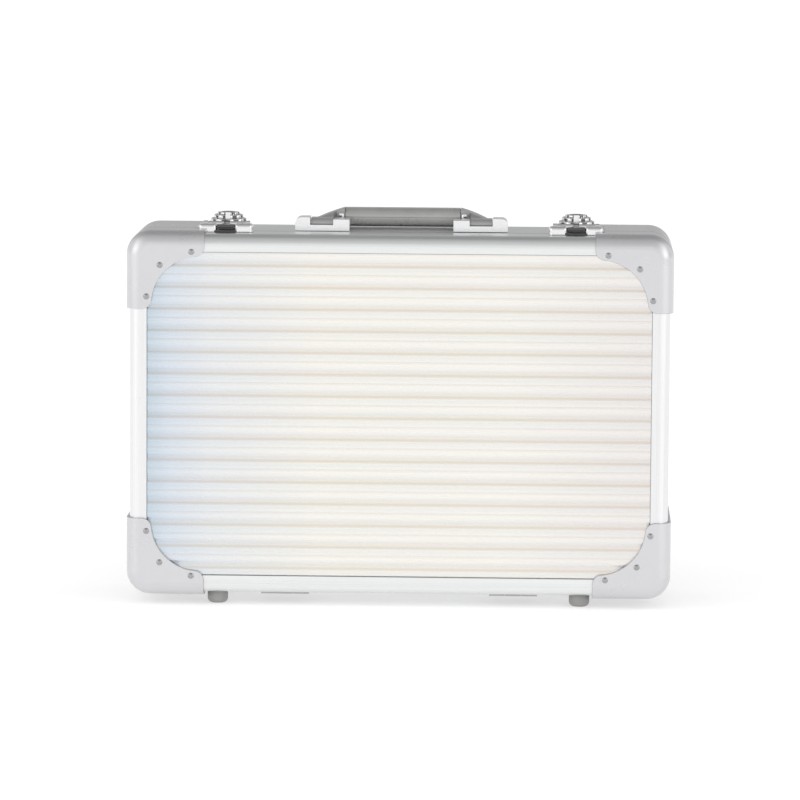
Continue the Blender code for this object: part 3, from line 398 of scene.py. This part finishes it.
def cutWith(base, tools):
    # base and tools are bmeshes; each tool comes with its Boolean operation
    def toObject(bm, name):
        mesh = bpy.data.meshes.new(name)
        bmesh.ops.recalc_face_normals(bm, faces=bm.faces)
        bm.to_mesh(mesh)
        bm.free()
        made = bpy.data.objects.new(name, mesh)
        scene.collection.objects.link(made)
        return made
    work = toObject(base, "work")
    helpers = []
    for tool, operation in tools:
        helper = toObject(tool, "tool")
        helpers.append(helper)
        step = work.modifiers.new("step", "BOOLEAN")
        step.operation = operation
        step.solver = "EXACT"
        step.object = helper
    mesh = evaluatedMesh(work)
    out = bmesh.new()
    out.from_mesh(mesh)
    bpy.data.meshes.remove(mesh)
    for made in [work, *helpers]:
        old = made.data
        bpy.data.objects.remove(made)
        bpy.data.meshes.remove(old)
    bmesh.ops.remove_doubles(out, verts=out.verts, dist=2e-6)
    bmesh.ops.dissolve_limit(out, angle_limit=math.radians(0.5), verts=out.verts, edges=out.edges)
    return out


def eased(nodeName, look, body, soften=0.0003, steps=2):
    # a finer copy of a machined block: its flats rejoined, its edges eased
    bm = bmesh.new()
    bm.from_mesh(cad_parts[nodeName].data)
    bmesh.ops.remove_doubles(bm, verts=bm.verts, dist=2e-6)
    bmesh.ops.dissolve_limit(bm, angle_limit=math.radians(1.0), verts=bm.verts, edges=bm.edges)
    return settle(bm, nodeName + "_eased", look, body, [nodeName], soften=soften, steps=steps)


# rails
railShape = {"round": 0.010, "flange": 0.015, "lip": 0.0015, "web": 0.006, "slotFar": 0.0045,
             "lipFar": 0.006, "wall": 0.0018, "end": 0.018, "ease": 0.0004}


def makeRail(shell, where):
    s = railShape
    run = abs(runY[shell] - faceY[shell])
    points = [(0, run), (0, 0), (s["flange"], 0), (s["flange"], s["lip"]), (s["web"], s["lip"]),
              (s["web"], s["slotFar"]), (s["flange"], s["slotFar"]), (s["flange"], s["lipFar"]),
              (s["wall"], s["lipFar"]), (s["wall"], run)]
    into = Vector({"top": (0, 0, -1), "bottom": (0, 0, 1), "left": (1, 0, 0),
                   "right": (-1, 0, 0)}[where])
    upright = where in ("left", "right")
    off = halfW if upright else halfH
    half = (halfH if upright else halfW) - s["end"]
    matrix = axesMatrix(into, (0, inward[shell], 0), Vector((0, faceY[shell], midZ)) - into * off)
    bm = pushed(points, matrix @ Matrix.Translation((0, 0, -half)), 2 * half)
    home = matrix.inverted()
    roundOff(bm, s["round"], 14,
             lambda a, b: (home @ a).xy.length < touch and (home @ b).xy.length < touch)
    name = shell + "_rail_" + where
    # the rail's eased edges carry painted shade
    settle(bm, name + "_fine", "railZ" if upright else "railX", shell, [name],
           soften=s["ease"], edgeShadeLook="edge")


for shell in inward:
    for where in ("top", "bottom", "left", "right"):
        makeRail(shell, where)
print("rails made")

# ribbed panels
ribShape = {"pitch": ribPitch, "height": 0.0006, "valley": 0.0014, "flank": 0.0036,
            "grooveHalf": 0.0008, "grooveDepth": 0.00012, "sheet": 0.0008, "samples": 40,
            "corner": 0.0112, "below": 0.0018}


def ribFall(z):
    # how far the surface lies below the rib tops at a height off the panel's middle
    s = ribShape
    z = abs(z) % s["pitch"]
    z = min(z, s["pitch"] - z)
    flank = min(1.0, max(0.0, (z - s["valley"] / 2) / s["flank"]))
    fall = s["height"] * (0.5 + 0.5 * math.cos(math.pi * flank))
    line = min(1.0, max(0.0, (z - s["pitch"] / 2 + s["grooveHalf"]) / s["grooveHalf"]))
    return fall + s["grooveDepth"] * (0.5 - 0.5 * math.cos(math.pi * line))


def makePanel(shell):
    s = ribShape
    low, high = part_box(shell + "_panel")
    spanX, spanZ = high.x, (high.z - low.z) / 2
    corner = s["corner"]
    count = int(2 * spanZ / s["pitch"] * s["samples"])
    top = faceY[shell] + inward[shell] * s["below"]
    bm = bmesh.new()
    chain = []
    for i in range(count + 1):
        z = -spanZ + 2 * spanZ * i / count
        past = max(0.0, abs(z) - spanZ + corner)
        x = spanX - corner + math.sqrt(max(0.0, corner ** 2 - past ** 2))
        chain.append(bm.verts.new((-x, top + inward[shell] * ribFall(z), midZ + z)))
    edges = [bm.edges.new(pair) for pair in zip(chain, chain[1:])]
    grown = bmesh.ops.extrude_edge_only(bm, edges=edges)["geom"]
    for vert in (g for g in grown if isinstance(g, bmesh.types.BMVert)):
        vert.co.x = -vert.co.x
    bmesh.ops.recalc_face_normals(bm, faces=bm.faces)
    bm.normal_update()
    bm.faces.ensure_lookup_table()
    if bm.faces[0].normal.y * inward[shell] > 0:
        bmesh.ops.reverse_faces(bm, faces=bm.faces)
    for edge in bm.edges:  # the sheet's cut edges stay crisp
        edge.smooth = not edge.is_boundary
    mesh = bpy.data.meshes.new(shell + "_panel_fine")
    bm.to_mesh(mesh)
    bm.free()
    for face in mesh.polygons:
        face.use_smooth = True
    mesh.materials.append(finish["panel"])
    made = bpy.data.objects.new(shell + "_panel_fine", mesh)
    scene.collection.objects.link(made)
    thick = made.modifiers.new("sheet", "SOLIDIFY")
    thick.thickness = s["sheet"]
    thick.offset = -1
    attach(made, shell)
    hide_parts(shell + "_panel")


for shell in inward:
    makePanel(shell)
print("panels made")

# corner castings
castShape = {"leg": 0.0645, "legWidth": 0.021, "corner": 0.020, "edge": 0.0125, "wall": 0.0022,
             "hollow": 0.039, "tip": 0.008, "ease": 0.0007, "fit": 0.0003,
             "field": 0.0153, "fieldDeep": 0.0015}
rivetShape = {"radius": 0.0025, "height": 0.00118, "sunk": 0.0004, "rim": 0.0001,
              "spots": ((0.054, 0.017), (0.028, 0.028), (0.017, 0.054))}


def castOutline():
    s = castShape
    tipY = s["legWidth"] - s["tip"] + 0.00017
    tipX = s["leg"] - s["tip"]
    middle = s["legWidth"] + s["hollow"]
    pull = s["hollow"] + s["tip"]
    across = tipX + math.sqrt(pull ** 2 - (middle - tipY) ** 2)
    lean = math.degrees(math.atan2(middle - tipY, across - tipX))
    points = [(-0.006, -0.006), (s["leg"], -0.006)]
    points += arcPoints(tipX, tipY, s["tip"], 0, lean, 10)
    points += arcPoints(across, middle, s["hollow"], 180 + lean, 225, 14)
    return points + [(y, x) for x, y in reversed(points)][1:]


def cornerBlock(shell, sx, sz, inset, edge, corner, far):
    # one corner of the shell as a solid block, its outer faces moved in by inset
    x1, z1 = sx * (halfW - inset), midZ + sz * (halfH - inset)
    y0 = faceY[shell] + inward[shell] * inset
    bm = block(x1 - sx * 0.1, x1, y0, far, z1 - sz * 0.1, z1)
    roundOff(bm, corner, 20,
             lambda a, b: at(a.x, x1) and at(b.x, x1) and at(a.z, z1) and at(b.z, z1))

    def onRim(p):
        # on the outer face, but not on the two inner ends of the block
        inX, inZ = abs(p.x - x1 + sx * 0.1) < 1e-4, abs(p.z - z1 + sz * 0.1) < 1e-4
        return at(p.y, y0) and not (inX and abs(p.z - z1) >= 1e-4) \
            and not (inZ and abs(p.x - x1) >= 1e-4)
    roundOff(bm, edge, 14, lambda a, b: onRim(a) and onRim(b))
    return bm


latchRoom = {"half": 0.023, "x": 0.1445, "front": -0.038, "back": 0.0245}


def makeCasting(shell, level, across):
    s = castShape
    sx, sz = sides[across], levels[level]
    outerX, outerZ = sx * (halfW + proud), midZ + sz * (halfH + proud)
    seam = runY[shell]
    bm = cornerBlock(shell, sx, sz, -proud, s["edge"], s["corner"], seam)
    corner = axesMatrix((-sx, 0, 0), (0, 0, -sz), (outerX, -0.09, outerZ))
    outline = pushed(castOutline(), corner @ Matrix.Translation((0, 0, -0.2)), 0.4)
    hollow = cornerBlock(shell, sx, sz, -s["fit"], s["edge"] - s["wall"],
                         s["corner"] - s["wall"], seam + inward[shell] * 0.01)
    fieldX, fieldZ = halfW - s["field"], halfH - s["field"]
    field = block(sx * fieldX, 0, faceY[shell] - inward[shell] * 0.004,
                  faceY[shell] + inward[shell] * s["fieldDeep"], midZ + sz * fieldZ, midZ)
    hollow = cutWith(hollow, [(field, "DIFFERENCE")])
    tools = [(outline, "INTERSECT"), (hollow, "DIFFERENCE")]
    if sz > 0:
        r = latchRoom
        tools.append((block(sx * r["x"] - r["half"], sx * r["x"] + r["half"], r["front"], r["back"],
                            topRail - 0.001, topRail + 0.02), "DIFFERENCE"))
    bm = cutWith(bm, tools)
    name = shell + "_corner_" + level + "_" + across
    # the casting's eased edges carry painted shade
    settle(bm, name + "_fine", "corner", shell, [name],
           soften=s["ease"], steps=3, edgeShadeLook="edge")
    out = -inward[shell]
    for k, (u, v) in enumerate(rivetShape["spots"]):
        r = rivetShape["radius"]
        face = faceY[shell] + out * proud
        profile = [(r, -rivetShape["sunk"]), (r, rivetShape["rim"])]
        profile += [onCircle(a, r, rivetShape["height"]) for a in (12, 26, 40, 54, 68, 80)]
        profile.append((0, rivetShape["height"]))
        spot = axesMatrix((1, 0, 0), (0, 0, -out), (outerX - sx * u, face, outerZ - sz * v))
        head = spun(profile, 24, spot)
        settle(head, name + "_rivet_" + str(k), "rivet", shell, (),
               weighted=False)


for shell in inward:
    for level in levels:
        for across in sides:
            makeCasting(shell, level, across)
print("corner castings and rivets made")

handleLook = {"edge": 0.0070, "seamWidth": 0.00035, "seamDepth": 0.00035, "ends": 0.0009}


def makeGrip():
    # rounded bar with the fine parting line of its two moulded halves
    s = handleLook
    low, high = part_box("handle_grip")
    halfY, halfZ = (high.y - low.y) / 2, (high.z - low.z) / 2
    centre = (low + high) / 2
    r, cut, deep = s["edge"], s["seamWidth"], s["seamDepth"]
    points = arcPoints(halfY - r, halfZ - r, r, 0, 90, 8)
    points += arcPoints(-halfY + r, halfZ - r, r, 90, 180, 8)
    points += [(-halfY, cut), (-halfY + deep, 0), (-halfY, -cut)]
    points += arcPoints(-halfY + r, -halfZ + r, r, 180, 270, 8)
    points += arcPoints(halfY - r, -halfZ + r, r, 270, 360, 8)
    points += [(halfY, -cut), (halfY - deep, 0), (halfY, cut)]
    end = axesMatrix((0, 1, 0), (0, 0, 1), (low.x, centre.y, centre.z))
    bm = pushed(points, end, high.x - low.x)
    settle(bm, "handle_grip_fine", "grip", "handle", ["handle_grip"],
           angle=50, soften=s["ends"], steps=3)


makeGrip()
for across in sides:
    eased("handle_arm_" + across, "arm", "handle", soften=0.0009, steps=4)
    eased("handle_base_" + across, "base", "body", soften=0.00055, steps=4)


def domed(radius, height, sink, steps=6):
    # round head: its rim, then a quarter curve up to the middle
    points = [(radius, -sink), (radius, height * 0.12)]
    for k in range(steps - 1):
        x, y = onCircle(90 * (k + 1) / steps, radius, 1)
        points.append((x, height * (0.12 + 0.88 * y)))
    return points + [(0, height)]


pinLook = {"handleEase": 0.0005, "hookEase": 0.0002, "hingeEase": 0.0004, "round": 40,
           "gripHead": 0.0024, "gripHeight": 0.0011, "shank": 0.0012}


def makePin(nodeName, look, body, ease):
    low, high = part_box(nodeName)
    middle = (low + high) / 2
    bm = bar((low.x, middle.y, middle.z), (high.x, middle.y, middle.z), (high.z - low.z) / 2,
             pinLook["round"])
    settle(bm, nodeName + "_fine", look, body, [nodeName], soften=ease, steps=3)


for across in sides:
    makePin("handle_pin_" + across, "hinge", "body", pinLook["handleEase"])
    makePin("hinge_pin_" + across, "hinge", "body", pinLook["hingeEase"])
    makePin("latch_hook_pin_" + across, "hinge", "lever_" + across,
            pinLook["hookEase"])
    s = pinLook
    name = "grip_rivet_" + across
    low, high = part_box(name)
    head = domed(s["gripHead"], s["gripHeight"], 0)
    tail = high.y - low.y - s["gripHeight"]
    profile = [(0, -tail), (s["shank"], -tail), (s["shank"], 0)] + head
    middle = (low + high) / 2
    spot = axesMatrix((1, 0, 0), (0, 0, 1), (middle.x, low.y + s["gripHeight"], middle.z))
    settle(spun(profile, 28, spot), name + "_fine", "chrome", "handle", [name],
           weighted=False)
print("handle made")

latchLook = {
    "plateEase": 0.0005, "hookEase": 0.00035,
    "lever": {"radii": (0.0152, 0.0124, 0.0092), "rises": (0.0031, 0.0031, 0.0024),
              "base": 0.0031, "radius": 0.018, "shoulder": 0.0012, "ease": 0.00018,
              "flutes": 9, "fluteDeep": 0.0009, "paintedShadeFrom": 0.55},
    "back": 0.0175, "rise": 0.0047, "behind": 0.003, "barrel": 0.0026, "trunnion": 0.0015,
    "cheek": 0.0035, "arm": 0.0075, "overPlate": 0.0018,
    "notch": (0.0022, 0.0035, 0.0140),  # half width, in front of the axis, length
    "key": (0.0055, 0.0063, 0.0003),  # radius, depth, play
    "pin": (0.0045, 0.0006, 0.0013, 0.0083),  # behind the axis, below it, radius, half length
    "tab": (0.007, 0.004, 0.004, 0.0021),  # half width, inside the rim, outside it, thickness
}


def leverAxis(across):
    low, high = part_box("latch_plate_" + across)
    return Vector(((low.x + high.x) / 2, low.y + latchLook["behind"], low.z + latchLook["rise"]))


def makeLever(across):
    # turned, stepped dome with its barrel, pins and finger tab
    s = latchLook["lever"]
    axis = leverAxis(across)
    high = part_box("latch_lever_" + across)[1]
    plateLow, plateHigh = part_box("latch_plate_" + across)
    floorZ = plateLow.z + latchLook["overPlate"]
    half = (plateHigh.x - plateLow.x) / 2
    rise = s["base"]
    radius = s["radius"]
    line = [(0, 0), (radius, 0), (radius, rise - 0.0006)]
    for smaller, up in zip(s["radii"], s["rises"]):
        line += arcPoints(radius - s["shoulder"], rise - 0.0004, s["shoulder"], 15, 90, 5)
        line += [(smaller + 0.0005, rise + 0.0012), (smaller, rise + 0.0016),
                 (smaller, rise + up - 0.0006)]
        rise += up
        radius = smaller
    top = high.z - floorZ
    line += [(radius - 0.0002, top - 0.0003), (radius - 0.0006, top), (0, top)]
    centre = Vector((axis.x, axis.y + latchLook["back"], floorZ))
    dome = spun(line, 112, Matrix.Translation(centre))

    def flute(p):
        # 0 on a rib of the fan, 1 in the middle of a flute
        angle = math.atan2(p.y - centre.y, p.x - centre.x)
        return 0.5 - 0.5 * math.cos(s["flutes"] * angle)

    for v in dome.verts:
        out = (v.co - centre).xy.length
        if out > s["radii"][-1] + 0.0004 and v.co.z > floorZ + s["base"] - 0.0005:
            share = 1 - s["fluteDeep"] / out * flute(v.co)
            v.co.x = centre.x + (v.co.x - centre.x) * share
            v.co.y = centre.y + (v.co.y - centre.y) * share
            v.co.z -= 0.4 * s["fluteDeep"] * flute(v.co)
    inside = half - latchLook["cheek"] - 0.0004
    pinHalf = half - 0.0003
    b, t = latchLook["barrel"], latchLook["trunnion"]
    nHalf, nFront, nLong = latchLook["notch"]
    keyR, keyDeep, fit = latchLook["key"]
    pinBack, pinDrop, pinR, pinOut = latchLook["pin"]
    tabHalf, tabIn, tabOut, tabThick = latchLook["tab"]
    back = centre.y + s["radius"]
    tab = block(axis.x - tabHalf, axis.x + tabHalf, back - tabIn, back + tabOut, floorZ + 0.0003,
                floorZ + 0.0003 + tabThick)
    tip = back + tabOut
    roundOff(tab, 0.003, 8, lambda p, q: abs(p.z - q.z) > 0.001 and at(p.y, tip) and at(q.y, tip))
    arm = block(axis.x - inside, axis.x + inside, axis.y, axis.y + latchLook["arm"],
                axis.z - b + 0.0001, axis.z + b - 0.0006)
    notch = block(axis.x - nHalf, axis.x + nHalf, axis.y - nFront, axis.y - nFront + nLong,
                  floorZ - 0.002, high.z + 0.002)
    keyHole = bar((centre.x, centre.y, high.z - keyDeep), (centre.x, centre.y, high.z + 0.002),
                  keyR + fit, 48)
    tools = [
        (alongX(axis, inside, b, 36), "UNION"),
        (arm, "UNION"),
        (alongX(axis, pinHalf, t, 28), "UNION"),
        (tab, "UNION"),
        (notch, "DIFFERENCE"),
        (keyHole, "DIFFERENCE"),
        (alongX((axis.x, axis.y + pinBack, axis.z - pinDrop), pinOut, pinR, 24), "DIFFERENCE"),
    ]
    name = "latch_lever_" + across
    lever = settle(cutWith(dome, tools), name + "_fine", "chrome", "lever_" + across, [name],
                   soften=s["ease"], steps=2)
    # painted dark reflection: the steep flute walls of the dome take the dark steel
    lever.data.materials.append(finish["darkSteelAndPaintedShade"])
    for face in lever.data.polygons:
        out = (face.center - centre).xy.length
        steep = abs(face.normal.z) < 0.45 and s["radii"][-1] - 0.001 < out < s["radii"][0] + 0.0006
        above = face.center.z > floorZ + s["base"]
        if steep and above and flute(face.center) > s["paintedShadeFrom"]:
            face.material_index = 1


keyLook = {"way": 0.0009, "long": 0.0062, "deep": 0.0025, "ring": 0.0006, "ease": 0.00018}


def makeKey(across):
    # lock face with a raised ring and a keyway
    s = keyLook
    name = "key_cylinder_" + across
    low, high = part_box(name)
    middle = (low + high) / 2
    radius = (high.x - low.x) / 2
    tall = high.z - low.z
    profile = [(0, 0), (radius, 0), (radius, tall - 0.0003), (radius - 0.0003, tall),
               (radius - s["ring"], tall), (radius - s["ring"] - 0.0003, tall - 0.0004),
               (0.0019, tall - 0.0004), (0.0016, tall - 0.0002), (0, tall - 0.0002)]
    face = spun(profile, 64, Matrix.Translation((middle.x, middle.y, low.z)))
    slot = block(middle.x - s["way"] / 2, middle.x + s["way"] / 2, middle.y - s["long"] / 2,
                 middle.y + s["long"] / 2, high.z - s["deep"], high.z + 0.002)
    holeY = middle.y + s["long"] * 0.18
    hole = bar((middle.x, holeY, high.z - s["deep"]), (middle.x, holeY, high.z + 0.002),
               s["way"] * 0.95, 24)
    settle(cutWith(face, [(slot, "DIFFERENCE"), (hole, "DIFFERENCE")]), name + "_fine", "lockFace",
           "key_" + across, [name], soften=s["ease"], steps=2)


keeperLook = {"end": 0.0034, "top": 0.0026, "floor": 0.0013, "channel": 0.0073, "lip": 0.0019,
              "lipHalf": 0.0065, "ease": 0.0003, "inset": 0.0003}


def makeKeeper(across):
    # two pillow-shaped wings on a thin floor, with the lip that the hook catches
    s = keeperLook
    name = "latch_keeper_" + across
    low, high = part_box(name)
    x = (low.x + high.x) / 2
    floorTop = low.z + s["floor"]
    halfBase = s["channel"] + s["end"]
    base = block(x - halfBase, x + halfBase, low.y + s["inset"], high.y - s["inset"],
                 low.z, floorTop)
    tools = []
    for side in (-1, 1):
        wing = block(x + side * s["channel"], high.x if side > 0 else low.x, low.y, high.y,
                     low.z, high.z)
        roundOff(wing, s["end"], 12, lambda p, q: abs(p.z - q.z) > 0.001)
        roundOff(wing, s["top"], 10, lambda p, q: at(p.z, high.z) and at(q.z, high.z))
        tools.append((wing, "UNION"))
    lip = block(x - s["lipHalf"], x + s["lipHalf"], high.y - 0.006, high.y - 0.0035,
                low.z + s["floor"] / 2, floorTop + s["lip"])
    roundOff(lip, 0.0006, 4, lambda p, q: abs(p.x - q.x) > 0.001 and p.z > floorTop + 0.001)
    tools.append((lip, "UNION"))
    keeper = settle(cutWith(base, tools), name + "_fine", "chrome", "lid", [name],
                    soften=s["ease"], steps=2)
    # painted shade: the channel floor and inner walls between the wings take the dark steel
    keeper.data.materials.append(finish["darkSteelAndPaintedShade"])
    for face in keeper.data.polygons:
        if abs(face.center.x - x) < s["channel"] - 0.0001 and face.center.z > low.z + 0.0001:
            face.material_index = 1


for across in sides:
    eased("latch_plate_" + across, "chrome", "body",
          soften=latchLook["plateEase"], steps=3)
    eased("latch_hook_" + across, "darkSteelAndPaintedShade", "hook_" + across,
          soften=latchLook["hookEase"], steps=3)
    makeLever(across)
    makeKey(across)
    makeKeeper(across)
print("latches made")

footLook = {"pad": 0.0045, "hole": 0.0021, "holeDeep": 0.0042, "flange": 0.0012}


def makeFoot(place, owner, across):
    # rubber dome with a flange above and a screw sunk in its middle
    s = footLook
    name = "foot_" + place + "_" + across
    low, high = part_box(name)
    middle = (low + high) / 2
    radius = (high.x - low.x) / 2
    bend = radius - s["pad"]
    tall = high.z - low.z
    deep = s["holeDeep"]
    profile = [(0, deep), (s["hole"], deep), (s["hole"], 0.0004), (s["hole"] + 0.0004, 0)]
    for a in (90, 78, 66, 54, 42, 30, 18, 6):
        x, y = onCircle(a, bend, 1)
        profile.append((s["pad"] + x, bend * (1 - y)))
    profile += [(radius, bend + 0.0002), (radius, tall - s["flange"] - 0.0004),
                (radius - 0.0003, tall - s["flange"]), (radius, tall - s["flange"] + 0.0003),
                (radius, tall - 0.0002), (radius - 0.0002, tall), (0, tall)]
    spot = Matrix.Translation((middle.x, middle.y, low.z))
    settle(spun(profile, 48, spot), name + "_fine", "foot", owner, [name],
           angle=40, weighted=False)
    head = [(0, deep - 0.0011), (0.0009, deep - 0.0011), (0.0015, deep - 0.0007),
            (0.0019, deep - 0.0001), (0, deep + 0.0002)]
    settle(spun(head, 20, spot), name + "_screw", "hinge", owner, (),
           weighted=False)


for across in sides:
    makeFoot("front", "lid", across)
    makeFoot("back", "body", across)
print("feet made")

hingeLook = {"ease": 0.00035, "head": 0.0021, "high": 0.0007, "spots": (-0.014, 0.0, 0.014),
             "inward": 0.0065, "gap": 0.0003, "leaf": 0.0014}


def makeHingeLeaf(owner, across):
    # the leaf under its rail, and the three rivets that hold it
    s = hingeLook
    name = "hinge_leaf_" + owner + "_" + across
    eased(name, "hinge", owner, soften=s["ease"], steps=3)
    low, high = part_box(name)
    y = low.y + s["inward"] if owner == "lid" else high.y - s["inward"]
    under = floorRail - s["gap"] - s["leaf"]
    for k, x in enumerate(s["spots"]):
        spot = axesMatrix((1, 0, 0), (0, -1, 0), ((low.x + high.x) / 2 + x, y, under))
        head = spun(domed(s["head"], s["high"], 0.0004), 24, spot)
        settle(head, name + "_rivet_" + str(k), "hinge", owner, (), weighted=False)


for across in sides:
    for owner in ("lid", "body"):
        makeHingeLeaf(owner, across)
print("hinges made")

eased("body_rim", "rim", "body", soften=0.00045, steps=3)
liningLook = {"wall": 0.0019, "fold": 0.0045, "crown": 0.00072, "cell": 0.012, "hem": 0.0012,
              "corner": 0.0154, "fill": 0.35, "cellsX": 16, "cellsZ": 11}


def makeLining(shell):
    # board tray covered in padded cloth: eased floor fold, a soft crown, and a rolled hem
    s = liningLook
    name = shell + "_liner"
    low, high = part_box(name)
    out = -inward[shell]
    floorY = low.y if out < 0 else high.y
    openY = high.y if out < 0 else low.y
    corner = s["corner"]
    bm = block(low.x, high.x, low.y, high.y, low.z, high.z)
    roundOff(bm, corner, 14, lambda p, q: abs(p.y - q.y) > 0.001)
    roundOff(bm, s["fold"], 6, lambda p, q: at(p.y, floorY) and at(q.y, floorY))
    drop = [f for f in bm.faces if at(f.calc_center_median().y, openY)]
    bmesh.ops.delete(bm, geom=drop, context="FACES")
    centre = (low + high) / 2

    def cutFloor(place, facing):
        faces = [f for f in bm.faces if at(f.calc_center_median().y, floorY)]
        edges = list(dict.fromkeys(e for f in faces for e in f.edges))
        verts = list(dict.fromkeys(v for f in faces for v in f.verts))
        bmesh.ops.bisect_plane(bm, geom=faces + edges + verts, plane_co=place, plane_no=facing,
                               dist=touch)

    for k in range(-s["cellsX"], s["cellsX"] + 1):
        cutFloor((centre.x + k * s["cell"], 0, 0), (1, 0, 0))
    for k in range(-s["cellsZ"], s["cellsZ"] + 1):
        cutFloor((0, 0, centre.z + k * s["cell"]), (0, 0, 1))
    halfX, halfZ = high.x - centre.x, high.z - centre.z
    for v in bm.verts:
        if at(v.co.y, floorY):
            u, w = abs(v.co.x - centre.x) / halfX, abs(v.co.z - centre.z) / halfZ
            soft = max(0.0, 1 - u ** 4) * max(0.0, 1 - w ** 4)
            wave = 0.25 * math.sin(v.co.x * 41) * math.sin(v.co.z * 53)
            v.co.y -= out * s["crown"] * soft * (1 + wave)
    made = settle(bm, name + "_fine", "cloth", shell, [name], angle=60,
                  weighted=False)
    thick = made.modifiers.new("board", "SOLIDIFY")
    thick.thickness = s["wall"]
    thick.offset = -1
    thick.use_even_offset = True

    # rolled hem round the mouth, over the wall's edge
    r = s["hem"]
    hx, hz, hr = halfX - r, halfZ - r, corner - r
    curve = bpy.data.curves.new(name + "_hem", "CURVE")
    curve.dimensions = "3D"
    curve.bevel_depth = r
    curve.bevel_resolution = 4
    path = []
    for sx, sz, first in ((1, 1, 0), (-1, 1, 90), (-1, -1, 180), (1, -1, 270)):
        turn = arcPoints(centre.x + sx * (hx - hr), centre.z + sz * (hz - hr), hr,
                         first, first + 90, 15)
        path += [(x, openY + out * r, z) for x, z in turn]
    spline = curve.splines.new("POLY")
    spline.points.add(len(path) - 1)
    for point, place in zip(spline.points, path):
        point.co = (*place, 1)
    spline.use_cyclic_u = True
    guide = bpy.data.objects.new(name + "_guide", curve)
    scene.collection.objects.link(guide)
    mesh = evaluatedMesh(guide)
    bpy.data.objects.remove(guide)
    hemBm = bmesh.new()
    hemBm.from_mesh(mesh)
    bpy.data.meshes.remove(mesh)
    settle(hemBm, name + "_hem", "cloth", shell, (), angle=60, weighted=False)


for shell in inward:
    makeLining(shell)
print("rim and linings made")

# stage
def cameraAt(distance, azimuth, elevation, aim, roll, lens):
    a, e = math.radians(azimuth), math.radians(elevation)
    back = Vector((math.sin(a) * math.cos(e), -math.cos(a) * math.cos(e), math.sin(e)))
    data = bpy.data.cameras.new("camera")
    data.lens = lens
    data.sensor_width = 36
    data.clip_end = 50
    made = bpy.data.objects.new("camera", data)
    scene.collection.objects.link(made)
    made.location = Vector(aim) + back * distance
    tilt = Matrix.Rotation(math.radians(roll), 4, "Z").to_quaternion()
    made.rotation_mode = "QUATERNION"
    made.rotation_quaternion = (-back).to_track_quat("-Z", "Y") @ tilt
    scene.camera = made


cameraLook = {"distance": 4.17, "azimuth": 1.8, "elevation": 6.6, "roll": 0.37, "lens": 225.0,
              "aim": (-0.0008, 0, 0.1660)}
cameraAt(**cameraLook)

lamps = {  # the direction each one comes from, its strength, angle and colour
    "overhead": ((0.0, -0.25, 1.0), 1.2, 110, (1.0, 1.0, 1.0)),
    "front": ((-0.35, -1.0, 0.75), 0.5, 80, (0.99, 0.995, 1.0)),
}
for name, (place, power, angle, colour) in lamps.items():
    data = bpy.data.lights.new(name, "SUN")
    data.energy = power
    data.angle = math.radians(angle)
    data.color = colour
    made = bpy.data.objects.new(name, data)
    scene.collection.objects.link(made)
    made.location = Vector(place) * 3
    made.rotation_mode = "QUATERNION"
    made.rotation_quaternion = (-Vector(place)).to_track_quat("-Z", "Y")
    made.visible_glossy = False

# soft room: a light band low in front and at the sides, dimmer above and behind
world = bpy.data.worlds.new("studio")
scene.world = world
world.use_nodes = True
tree = world.node_tree
direction = node(tree, "ShaderNodeTexCoord").outputs["Generated"]
axes = node(tree, "ShaderNodeSeparateXYZ", {"Vector": direction})
roomLook = {  # brightness by height, from in front to behind, and from the middle to the sides
    "up": ((0.0, 0.76), (0.22, 0.76), (0.38, 0.66), (0.60, 0.54), (0.80, 0.46), (1.0, 0.37)),
    "back": ((0.0, 0.95), (0.38, 1.0), (0.48, 0.76), (0.60, 0.62), (0.80, 0.56), (1.0, 0.53)),
    "side": ((0.0, 0.555), (0.40, 0.57), (0.60, 0.75), (0.72, 1.0), (0.85, 0.96), (1.0, 0.62)),
    "strength": 2.4,
}


def roomRamp(factor, key):
    return ramp(tree, factor, [(place, grey(value)) for place, value in roomLook[key]])


up = roomRamp(spread(tree, axes.outputs["Z"], 0.0, 1.0), "up")
back = roomRamp(spread(tree, axes.outputs["Y"], -1.0, 1.0), "back")
side = roomRamp(sums(tree, "ABSOLUTE", axes.outputs["X"]), "side")
room = mixColour(tree, 1.0, mixColour(tree, 1.0, up, back, "MULTIPLY"), side, "MULTIPLY")
tree.nodes["Background"].inputs["Strength"].default_value = roomLook["strength"]
tree.links.new(room, tree.nodes["Background"].inputs["Color"])

floorShape = {"half": 60, "tone": 0.5, "glow": 0.5, "roughness": 0.85, "specular": 0.2}
floorBm = bmesh.new()
bmesh.ops.create_grid(floorBm, x_segments=1, y_segments=1, size=floorShape["half"])
floorMesh = bpy.data.meshes.new("floor")
floorBm.to_mesh(floorMesh)
floorBm.free()
floor = bpy.data.objects.new("floor", floorMesh)
scene.collection.objects.link(floor)
floorLook, tree, shader = startMaterial("paleFloor", roughness=floorShape["roughness"])
shader.inputs["Base Color"].default_value = (*grey(floorShape["tone"]), 1)
shader.inputs["Emission Color"].default_value = (1, 1, 1, 1)
shader.inputs["Emission Strength"].default_value = floorShape["glow"]
shader.inputs["Specular IOR Level"].default_value = floorShape["specular"]
floorMesh.materials.append(floorLook)
scene.view_settings.view_transform = "Standard"
scene.view_settings.look = "None"
print("camera, lights and floor made")
